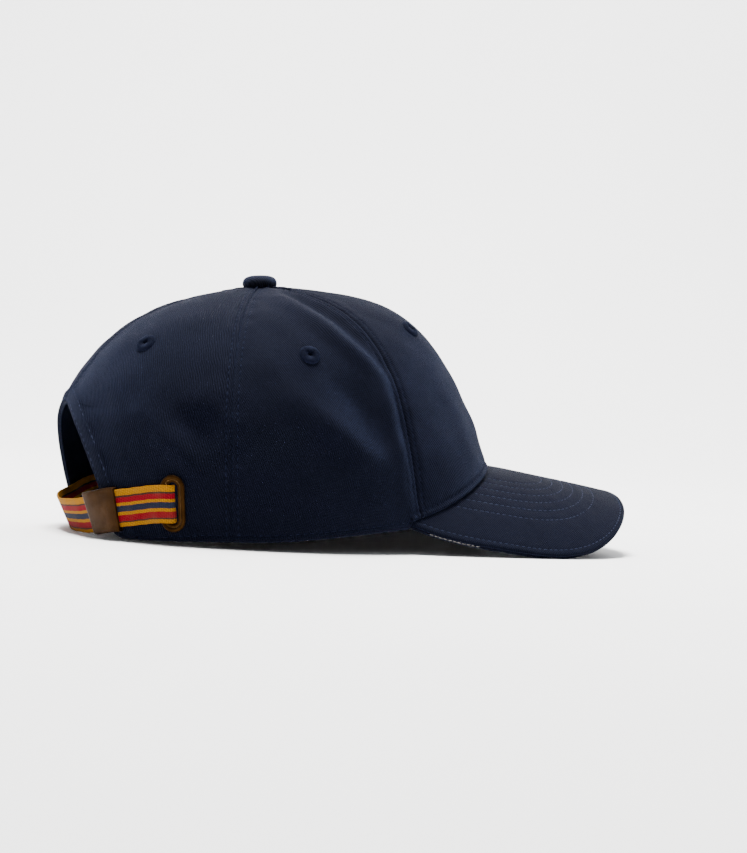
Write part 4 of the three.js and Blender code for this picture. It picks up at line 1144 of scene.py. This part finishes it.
def peak_piece(name, depth_from, depth_to, material, is_upper):
    corner = PEAK_HALF_ANGLE - EDGE_STEPS[:9] * 0.55
    between = np.linspace(1.4 - PEAK_HALF_ANGLE, PEAK_HALF_ANGLE - 1.4, 210)
    angles = np.concatenate([-corner, between, corner[::-1]])
    share = np.abs(angles) / PEAK_HALF_ANGLE
    tip_x, tip_y = peak_outline(share)
    tip = np.stack([tip_x, np.sign(angles) * tip_y], -1)
    start = np.stack(heading(angles), -1) * (rim_reach(angles) - CLOTH - PEAK_TUCK)[:, None]
    rows = []
    for k in range(len(angles)):
        run = tip[k] - start[k]
        length = np.linalg.norm(run)
        at = length - spaced(length, EDGE_STEPS, 44, False)[::-1]
        at = np.interp(np.linspace(0, 1, 62), np.linspace(0, 1, len(at)), at)
        rows.append(start[k] + run / length * at[:, None])
    plan = np.array(rows)
    surface, normal = on_peak(plan)
    edge = from_line(plan, EDGE[::3])
    edge[:, -1] = 0
    end = np.minimum(np.abs(angles + PEAK_HALF_ANGLE), np.abs(angles - PEAK_HALF_ANGLE)) * math.radians(1)
    side = end[:, None] * np.linalg.norm(plan, axis=-1)
    near = np.minimum(edge, side)
    half = (depth_to - depth_from) / 2
    round_off = thinned(near, half)

    # Grooves under the rows of stitching, and soft waves
    rise = sewn(edge, PEAK_RELIEF)
    x, y = plan[..., 0], plan[..., 1]
    rise += PEAK_SLOW_WAVES * wrinkle(x, y, 24, 41 + is_upper)
    rise += PEAK_SMALL_WAVES * wrinkle(x, y, 9, 43 + is_upper) * smoothstep(edge, 8, 14)
    rise = rise * inland(round_off)
    middle = surface - normal * (depth_from + half)
    top = middle + normal * (half * round_off + (rise if is_upper else 0))[..., None]
    bottom = middle - normal * (half * round_off + (0 if is_upper else rise))[..., None]
    points, faces = skin(top, bottom, True)
    cloth = np.stack([x, y, 0 * x], -1).reshape(-1, 3)
    cloth = np.concatenate([cloth, cloth * [-1, 1, 1]])
    make_object(name, points, faces, material, cloth, True, True)


# The upper cover uses the darker copy of the navy twill, which paints shade on the peak
peak_piece("peak_upper", 0, PEAK_UPPER_COVER, PAINTED_SHADE_PEAK_CLOTH, True)
LOWER_TOP = PEAK_UPPER_COVER + SEAM_GAP
LOWER_BOTTOM = LOWER_TOP + PEAK_LOWER_COVER
peak_piece("peak_lower", LOWER_TOP, LOWER_BOTTOM, NAVY_UNDER, False)

peak_thread, under_thread, pale_thread = Thread(), Thread(), Thread()
for offset in (EDGE_STITCH_OFFSET, *PEAK_STITCH_OFFSETS):
    surface, normal = on_peak(offset_edge(offset))
    size = (PEAK_STITCH_PITCH, PEAK_STITCH, PEAK_THREAD_RADIUS)
    peak_thread.run(surface - normal * PEAK_STITCH_SUNK, normal, *size)
    under_thread.run(surface - normal * (LOWER_BOTTOM - PEAK_STITCH_SUNK), -normal, *size)
# The upper rows use the lighter copy of the navy thread, a painted highlight; the same rows underneath use
# the navy thread
peak_thread.build("peak_stitching", PAINTED_HIGHLIGHT_THREAD, "navy_thread")
under_thread.build("peak_under_stitching", THREAD, "navy_thread", press=True)

# A pale thread shows on short stretches of the lower cover's edge
plan = offset_edge(0.35)
surface, normal = on_peak(plan)
outwards = unit(np.concatenate([plan - plan.mean(0), np.zeros((len(plan), 1))], -1))
way_out = unit(outwards - normal * 0.9)
edge_line = surface - normal * (LOWER_TOP + 0.25) + outwards * 0.2
pale_thread.run(edge_line, way_out, PALE_STITCH_PITCH, PALE_STITCH, PALE_THREAD_RADIUS, PALE_STRETCHES)
pale_thread.build("peak_edge_stitching", PALE_THREAD, "navy_thread", press=True)


# Strap, buckle, grommet and loop
def strap_angle(bearing):
    return bearing - 180 if bearing >= 0 else bearing + 180


def step_at_height(angle, height):
    return search(lambda s: smooth_crown(angle, s)[2] < height)


SLOT_ANGLE = strap_angle(GROMMET_BEARING)
SLOT_FRAME = crown_frame(SLOT_ANGLE, step_at_height(SLOT_ANGLE, GROMMET_LIFT), "back")


def strap_stations():
    middle_out = (SEAM_GAP - CLOTH) / 2
    clear_half = CLOTH / 2 + SEAM_GAP + GROMMET_RISE + STRAP_THICKNESS / 2 + STRAP_REST
    up = SLOT_FRAME[1]
    stations = []
    first_along, first_out = STRAP_THREADING[0]
    tail_start = first_along * GROMMET_WIDTH
    for i in range(3):
        ahead = tail_start + STRAP_TAIL * (1 - i / 3)
        bend = (ahead**2 - tail_start**2) / (2 * HALF_WIDTH)
        stations.append((in_frame([ahead, 0, middle_out + first_out * clear_half - bend], SLOT_FRAME), up, 0))
    for along, out in STRAP_THREADING:
        place = in_frame([along * GROMMET_WIDTH, 0, middle_out + out * clear_half], SLOT_FRAME)
        stations.append((place, up, 0))
    rows = np.array(STRAP_ROUTE[::-1])
    height, lean, off, inside = (smooth_curve(rows[:, 0], rows[:, k]) for k in (1, 2, 3, 4))
    rest = SEAM_GAP + STRAP_THICKNESS / 2 + PUFF
    passage = CLOTH + 2 * SEAM_GAP + STRAP_THICKNESS + PUFF
    for share in np.linspace(STRAP_ROUTE[0][0] - 0.05, -1, 45):
        bearing = share * (GROMMET_BEARING if share > 0 else STRAP_ANCHOR_BEARING)
        angle = strap_angle(bearing)
        level = height(share) * GROMMET_LIFT
        out = np.array([*heading(angle), 0])
        stand_off = rest + off(share) * STRAP_WIDTH - inside(share) * passage
        middle = smooth_crown(angle, step_at_height(angle, level)) + out * stand_off
        middle[2] = level
        leaning = unit(np.array([0, 0, 1]) + out * math.tan(math.radians(lean(share))))
        stations.append((middle, leaning, stand_off))
    return stations


def smooth_line(values, count):
    """Values along a rounded line, evenly spaced in count places; the first three columns are the place."""
    rounded = chaikin(values, 3, False)
    dist = along_line(rounded[:, :3])
    at = np.linspace(0, dist[-1], count)
    return values_at(at, dist, rounded), at


raw = np.array([[*m, *u, s] for m, u, s in strap_stations()])
line, STRAP_AT = smooth_line(raw, 300)
STRAP_MIDDLE, STRAP_STAND = line[:, :3], line[:, 6]
STRAP_WAY = unit(np.gradient(STRAP_MIDDLE, axis=0))
STRAP_UP = unit(line[:, 3:6] - STRAP_WAY * np.sum(line[:, 3:6] * STRAP_WAY, 1, keepdims=True))
STRAP_OUT = np.cross(STRAP_UP, STRAP_WAY)


def rounded_box(width, thickness, radius, flats, rounds=4):
    """A rounded rectangle's points, (up, out), starting at the middle of its lower edge."""
    points = []
    for sx, sy, start in ((1, 1, 0), (-1, 1, 90), (-1, -1, 180), (1, -1, 270)):
        for turn in np.linspace(start, start + 90, rounds + 1):
            x = sx * (width / 2 - radius) + radius * math.cos(math.radians(turn))
            y = sy * (thickness / 2 - radius) + radius * math.sin(math.radians(turn))
            points.append((x, y))
        if start in (0, 180):
            for t in np.linspace(0, 1, flats + 2)[1:-1]:
                points.append((sx * (width / 2 - radius) * (1 - 2 * t), sy * thickness / 2))
    return np.array(points)


def placed(profile, middle, up, out):
    """A profile of (up, out) rows at one place on the strap's line."""
    return middle + profile[:, :1] * up + profile[:, 1:2] * out


def capped(rings):
    """Points and faces of a closed bar from the rings along it."""
    count, size = rings.shape[:2]
    faces = [tuple(f) for f in grid_faces(count, size, 0, True)]
    faces.append(tuple(range(size - 1, -1, -1)))
    faces.append(tuple((count - 1) * size + k for k in range(size)))
    return rings.reshape(-1, 3), faces


def strap():
    profile = rounded_box(STRAP_WIDTH, STRAP_THICKNESS, STRAP_THICKNESS * 0.46, 22)
    rings = []
    for at, *place in zip(STRAP_AT, STRAP_MIDDLE, STRAP_UP, STRAP_OUT):
        p = profile.copy()
        p[:, 0] += 0.12 * math.sin(at * 0.21) + 0.06 * math.sin(at * 0.9)
        p[:, 1] += 0.1 * np.cos(np.pi * p[:, 0] / STRAP_WIDTH) * math.sin(at * 0.13)
        rings.append(placed(p, *place))
    points, faces = capped(np.array(rings))
    across, along = np.meshgrid(STRAP_WIDTH / 2 - profile[:, 0], STRAP_AT)
    cloth = np.stack([across, along, 0 * along], -1).reshape(-1, 3)
    make_object("strap", points, faces, WEBBING, cloth, True, True)


strap()


def stretch(bearing, length, count):
    """Places on the strap's line within half a length of a bearing, as positions along it."""
    angle = np.degrees(np.arctan2(STRAP_MIDDLE[:, 1], STRAP_MIDDLE[:, 0]))
    away = np.abs(angle - strap_angle(bearing))
    # The tail inside the cap is no place for the buckle
    away[:40] = np.inf
    centre = STRAP_AT[np.argmin(away)]
    return np.linspace(centre - length / 2, centre + length / 2, count)


def at_places(places):
    middle, up, out = (values_at(places, STRAP_AT, rows) for rows in (STRAP_MIDDLE, STRAP_UP, STRAP_OUT))
    return middle, unit(up), unit(out), np.interp(places, STRAP_AT, STRAP_STAND)


def buckle():
    cavity = STRAP_THICKNESS + 2 * BUCKLE_CLEARANCE
    places = stretch(BUCKLE_BEARING, BUCKLE_LENGTH, 34)
    middle, up, out, _ = at_places(places)
    outside = rounded_box(BUCKLE_WIDTH, cavity + 2 * BUCKLE_PLATE, 0.5, 14, 6)
    inside = rounded_box(BUCKLE_WIDTH - 2 * BUCKLE_PLATE, cavity, 0.35, 14, 6)
    forth = range(len(places))
    order = [(k, outside, 0) for k in forth] + [(k, inside, 1) for k in reversed(forth)]
    rings, cloth = [], []
    for k, profile, is_inside in order:
        p = profile.copy()
        p[:, 0] += (places[k] - places.mean()) * math.tan(BUCKLE_SKEW)
        if k in (0, len(places) - 1):
            p = p * (1 + BUCKLE_BEVEL / BUCKLE_WIDTH if is_inside else 1 - 2 * BUCKLE_BEVEL / BUCKLE_WIDTH)
        rings.append(placed(p, middle[k], up[k], out[k]))
        cloth.append(np.stack([p[:, 0], np.full(len(p), places[k]), p[:, 1]], -1))
    rings = np.array(rings)
    faces = ring_faces(*rings.shape[:2], True, True)
    make_object("buckle", rings.reshape(-1, 3), faces, BRASS, np.concatenate(cloth), True)


buckle()


def loop():
    places = stretch(BUCKLE_BEARING + LOOP_TURN, LOOP_LENGTH, 40)
    middle, up, out, stand_off = at_places(places)
    behind = STRAP_THICKNESS / 2 + BUCKLE_CLEARANCE + BUCKLE_PLATE + SEAM_GAP + LOOP_THICKNESS / 2
    profile = rounded_box(LOOP_WIDTH, LOOP_THICKNESS, LOOP_THICKNESS * 0.45, 8)
    rings, cloth = [], []
    for k in range(len(places)):
        inside = stand_off[k] + CLOTH + 2 * SEAM_GAP + LOOP_THICKNESS / 2
        shift = lerp(inside, behind, smoothstep(k / (len(places) - 1), 0.7, 1))
        rings.append(placed(profile - [0, shift], middle[k], up[k], out[k]))
        cloth.append(np.stack([profile[:, 0], np.full(len(profile), places[k]), profile[:, 1]], -1))
    points, faces = capped(np.array(rings))
    make_object("buckle_loop", points, faces, NAVY_UNDER, np.concatenate(cloth), True)


loop()


# The grommet's front rim, from its outer edge in: shares of the band's width and of its rise
GROMMET_RIM = [(0, 0), (0, 0.5), (0.1, 0.9), (0.28, 1.05), (0.45, 0.95), (0.56, 0.6), (0.64, 0.5)]
GROMMET_RIM += [(0.82, 0.62), (1, 0.4)]


def grommet():
    edge = GROMMET_WIDTH / 2
    slot = edge - GROMMET_BAND
    back_edge = edge - GROMMET_BAND / 3
    back_seat = -CLOTH - 2.4 * SEAM_GAP
    back_face = back_seat - GROMMET_RISE / 2
    liner = 0.8
    section = [(slot, back_face), (back_edge, back_face), (back_edge, back_seat)]
    section += [(slot + liner, back_seat), (slot + liner, SEAM_GAP)]
    section += [(edge - GROMMET_BAND * a, SEAM_GAP + GROMMET_RISE * u) for a, u in GROMMET_RIM]
    section = chaikin(section, 2)
    half_straight = (GROMMET_LENGTH - GROMMET_WIDTH) / 2
    corners = np.linspace(0, 2 * np.pi, 80, endpoint=False) + np.pi / 80
    rings, cloth = [], []
    straight = half_straight * np.linspace(-1, 1, 12)[1:-1]
    stops = [(t, math.copysign(half_straight, math.sin(t))) for t in corners]
    half = len(stops) // 2
    right, left = [(0.0, s) for s in straight], [(math.pi, -s) for s in straight]
    for run, (turn, end) in enumerate(right + stops[:half] + left + stops[half:], 1):
        reach, height = section.T
        rings.append(np.stack([reach * math.cos(turn), end + reach * math.sin(turn), height], -1))
        cloth.append(np.stack([reach, 0 * reach + run, height], -1))
    points = in_frame(np.array(rings).reshape(-1, 3), SLOT_FRAME)
    faces = ring_faces(len(rings), len(section), True, True)
    make_object("grommet", points, faces, BRASS, np.concatenate(cloth), True)


grommet()


# Floor, light and camera, in metres
STUDIO_REACH = 6
BACKDROP_FROM = 1
BACKDROP_BEND = 0.8
BACKDROP_HEIGHT = 3.2


def studio():
    """A pale floor that rises into a backdrop behind the cap."""
    net = Net("studio_paper")
    coordinates = net.node("ShaderNodeTexCoord").outputs["Object"]
    grain = net.noise(coordinates, 900, 3.0)
    shade = net.noise(coordinates, 3, 2.0)
    colour = net.mix(net.range(shade, 0.3, 0.7, 0, 1), (0.87, 0.87, 0.872), (0.9, 0.9, 0.9))
    roughness = net.range(grain, 0.3, 0.7, 0.85, 0.95)
    paper = net.finish({"Base Color": colour, "Roughness": roughness, "Normal": net.bump(grain, 0.0001, 0.2)})
    profile = [(-STUDIO_REACH, 0.0), (BACKDROP_FROM, 0.0)]
    for turn in np.linspace(0, np.pi / 2, 16)[1:]:
        bend = (BACKDROP_FROM + BACKDROP_BEND * math.sin(turn), BACKDROP_BEND * (1 - math.cos(turn)))
        profile.append(bend)
    profile.append((BACKDROP_FROM + BACKDROP_BEND, BACKDROP_HEIGHT))
    across = np.linspace(-STUDIO_REACH, STUDIO_REACH, 9)
    points = [(x, y, z) for y, z in profile for x in across]
    floor = add_object("studio_floor", new_mesh("studio_floor", points, grid_faces(len(profile), 9), paper))
    floor.rotation_euler = (0, 0, math.radians(-18))
    floor.location = (0, 0, -0.0002)
    floor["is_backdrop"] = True


studio()


def matrix_of(axes, place):
    return Matrix([[*row, p] for row, p in zip(axes, place)] + [[0, 0, 0, 1]])


def area_light(name, place, target, size, power, colour):
    data = bpy.data.lights.new(name, "AREA")
    data.shape = "RECTANGLE"
    data.size, data.size_y = size
    data.energy = power
    data.color = colour
    light = add_object(name, data)
    way = unit(np.array(place, float) - np.array(target, float))
    side = unit(np.cross([0, 0, 1], way)) if abs(way[2]) < 0.99 else np.array([1.0, 0, 0])
    top = np.cross(way, side)
    light.matrix_world = matrix_of(np.stack([side, top, way], 1), place)
    light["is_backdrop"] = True


CAP_CENTRE = (0, 0, 0.06)
area_light("key_light", (-0.15, 0.1, 1.9), CAP_CENTRE, (0.6, 0.5), 150, (1.0, 0.99, 0.975))
area_light("front_light", (1.3, -0.2, 1.5), CAP_CENTRE, (0.6, 0.6), 2, (0.9, 0.95, 1.0))
area_light("fill_light", (-0.9, -1.7, 1.2), CAP_CENTRE, (1.0, 0.8), 4, (0.97, 0.98, 1.0))
area_light("backdrop_light", (0.5, 0.7, 1.9), (0.5, 1.7, 0.4), (2.4, 0.8), 90, (1.0, 1.0, 1.0))

world = bpy.data.worlds.new("studio_world")
world.use_nodes = True
world.node_tree.nodes["Background"].inputs[0].default_value = (0.93, 0.95, 1.0, 1)
world.node_tree.nodes["Background"].inputs[1].default_value = 0.25
bpy.context.scene.world = world

# The photograph's camera, found in the crown's frame
VIEW_ANGLE = math.radians(19.76)
VIEW_DROP = math.radians(2.46)
VIEW_ROLL = math.radians(-0.76)
VIEW_DISTANCE = 943.05
VIEW_RIGHT = 54.27
VIEW_UP = 47.21
FOCAL_PIXELS = 1933.3
IMAGE_WIDTH = 747
SENSOR = 36.0


def photo_camera():
    ahead, aside = math.sin(VIEW_ANGLE), math.cos(VIEW_ANGLE)
    forward = np.array([ahead * math.cos(VIEW_DROP), aside * math.cos(VIEW_DROP), -math.sin(VIEW_DROP)])
    right = np.array([aside, -ahead, 0])
    up = np.cross(right, forward)
    place = -forward * VIEW_DISTANCE + right * VIEW_RIGHT + up * VIEW_UP
    rolled_right = right * math.cos(VIEW_ROLL) + up * math.sin(VIEW_ROLL)
    rolled_up = -right * math.sin(VIEW_ROLL) + up * math.cos(VIEW_ROLL)
    here = standing(place)
    towards = np.stack([rolled_right, rolled_up, -forward])
    axes = unit(standing(place + towards * 100) - here).T
    data = bpy.data.cameras.new("photo_camera")
    data.sensor_fit = "HORIZONTAL"
    data.sensor_width = SENSOR
    data.lens = FOCAL_PIXELS * SENSOR / IMAGE_WIDTH
    data.clip_start = 0.05
    data.clip_end = 20
    camera = add_object("photo_camera", data)
    camera.matrix_world = matrix_of(axes, here)
    bpy.context.scene.camera = camera


photo_camera()

lists = [[[float(v) for v in corner] for corner in pair] for pair in (bounds_at_load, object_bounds())]
